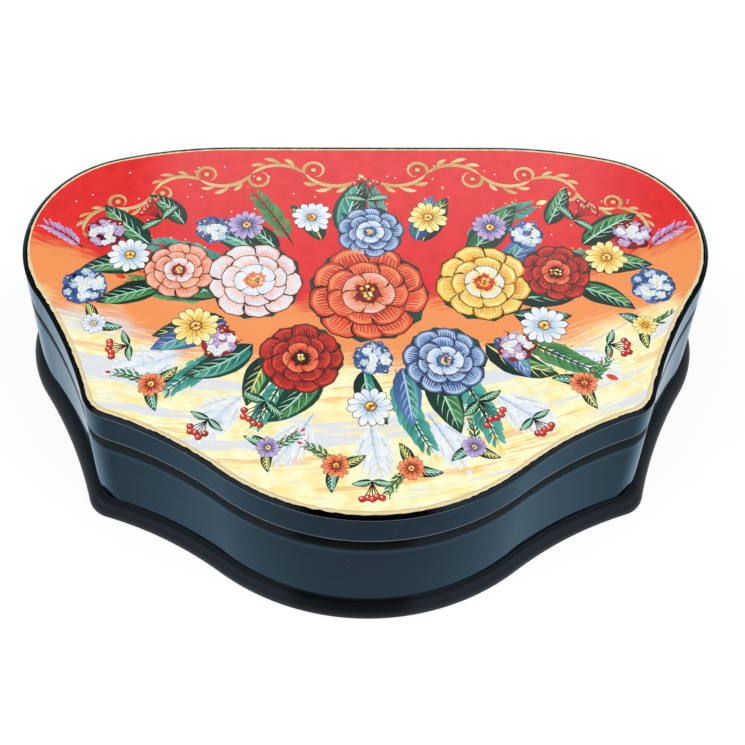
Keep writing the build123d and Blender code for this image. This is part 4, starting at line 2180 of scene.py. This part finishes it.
@dataclass(frozen=True)
class Studio:
    """White table, soft panels, a room with a few lights to mirror, and the camera of the photograph."""

    floor_radius: float = 9.0
    floor_segments: int = 96
    ambient: Colour = (0.12, 0.13, 0.14)
    sides: Patch = Patch((0.62, 0.64, 0.66), aside=((0.30, 0.65),), height=((0.55, 0.35),))
    horizon: Patch = Patch((0.87, 0.87, 0.87), height=((0.16, 0.06),))
    softboxes: Patch = Patch(
        (2.7, 2.8, 2.9), aside=((0.30, 0.50),), back=((0.25, 0.05),), height=((0.42, 0.50), (0.80, 0.70))
    )
    window: Patch = Patch(
        (1.40, 1.42, 1.45),
        across=((-0.11, -0.075), (0.20, 0.13)),
        back=((0.0, 0.1),),
        height=((0.60, 0.68), (0.83, 0.72)),
    )
    panels: tuple[Panel, ...] = (
        Panel("LeftPanel", (-0.80, -0.05, 0.75), (0.0, 0.0, 0.04), (0.8, 0.8), 2.05),
        Panel("RightPanel", (0.80, -0.05, 0.75), (0.0, 0.0, 0.04), (0.8, 0.8), 2.05),
        Panel("TopPanel", (0.0, -0.10, 1.0), (0.0, -0.02, 0.0), (0.9, 0.7), 0.5),
    )
    image_side: int = 745
    focal_px: float = 1725.32
    sensor_mm: float = 36.0
    clip_start: float = 0.01
    elevation_deg: float = 54.302
    azimuth_deg: float = -2.790
    roll_deg: float = 2.152
    distance: float = 0.56510
    target: Place = (0.002592, 0.017981, 0.0)

    def build(self) -> None:
        """Set up everything that isn't the casket."""
        self.build_floor()
        self.build_world()
        for panel in self.panels:
            panel.build()
        self.build_camera()

    def build_floor(self) -> None:
        """Round table top under the casket."""
        work = bmesh.new()
        bmesh.ops.create_circle(work, cap_ends=True, segments=self.floor_segments, radius=self.floor_radius)
        mesh = bpy.data.meshes.new("Table")
        work.to_mesh(mesh)
        work.free()
        mesh.materials.append(FloorFinish().material())
        linked("Table", mesh)

    def build_world(self) -> None:
        """Dim room with a pale horizon, grey sides, two softboxes in front and a window high at the back."""
        world = bpy.data.worlds.new("Room")
        world.use_nodes = True
        bpy.context.scene.world = world
        tree = Graph(world.node_tree)
        across, back, height = tree.apart(tree.node("ShaderNodeTexCoord", output="Generated"))
        axes = {"across": across, "aside": abs(across), "back": back, "height": height}
        room: Any = self.ambient
        for patch in (self.sides, self.horizon, self.softboxes, self.window):
            room = patch.over(tree, room, axes)
        tree.feed(world.node_tree.nodes["Background"].inputs["Color"], room)

    def build_camera(self) -> None:
        """Camera at the photograph's place."""
        elevation, azimuth, roll = (
            math.radians(angle) for angle in (self.elevation_deg, self.azimuth_deg, self.roll_deg)
        )
        flat = math.cos(elevation)
        back = Vector((math.sin(azimuth) * flat, -math.cos(azimuth) * flat, math.sin(elevation)))
        right = Vector((math.cos(azimuth), math.sin(azimuth), 0.0))
        up = back.cross(right)
        right, up = (
            right * math.cos(roll) + up * math.sin(roll),
            up * math.cos(roll) - right * math.sin(roll),
        )
        data = bpy.data.cameras.new("PhotoCamera")
        data.sensor_fit = "HORIZONTAL"
        data.sensor_width = self.sensor_mm
        data.lens = self.focal_px * self.sensor_mm / self.image_side
        data.clip_start = 0.01
        camera = linked("PhotoCamera", data)
        turned = Matrix((right, up, back)).transposed().to_4x4()
        camera.matrix_world = Matrix.Translation(Vector(self.target) + back * self.distance) @ turned
        bpy.context.scene.camera = camera


def main() -> None:
    """Build the casket and its studio, and note the sizes."""
    logging.basicConfig(level=logging.INFO, format="%(name)s %(message)s")
    plan, sweep, hinge = Plan(), Sweep(), Hinge()
    black, red = BODY_LACQUER.material(), RED_LACQUER.material()
    BoxBody(plan, sweep).build(hinge, black, red)
    Lid(plan, sweep).build(hinge, LID_LACQUER.material(), red)
    hinge.dress(black)
    LidPainting(plan, sweep).build()
    Studio().build()
    bpy.context.scene.view_settings.view_transform = "Standard"
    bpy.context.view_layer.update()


if __name__ == "__main__":
    main()
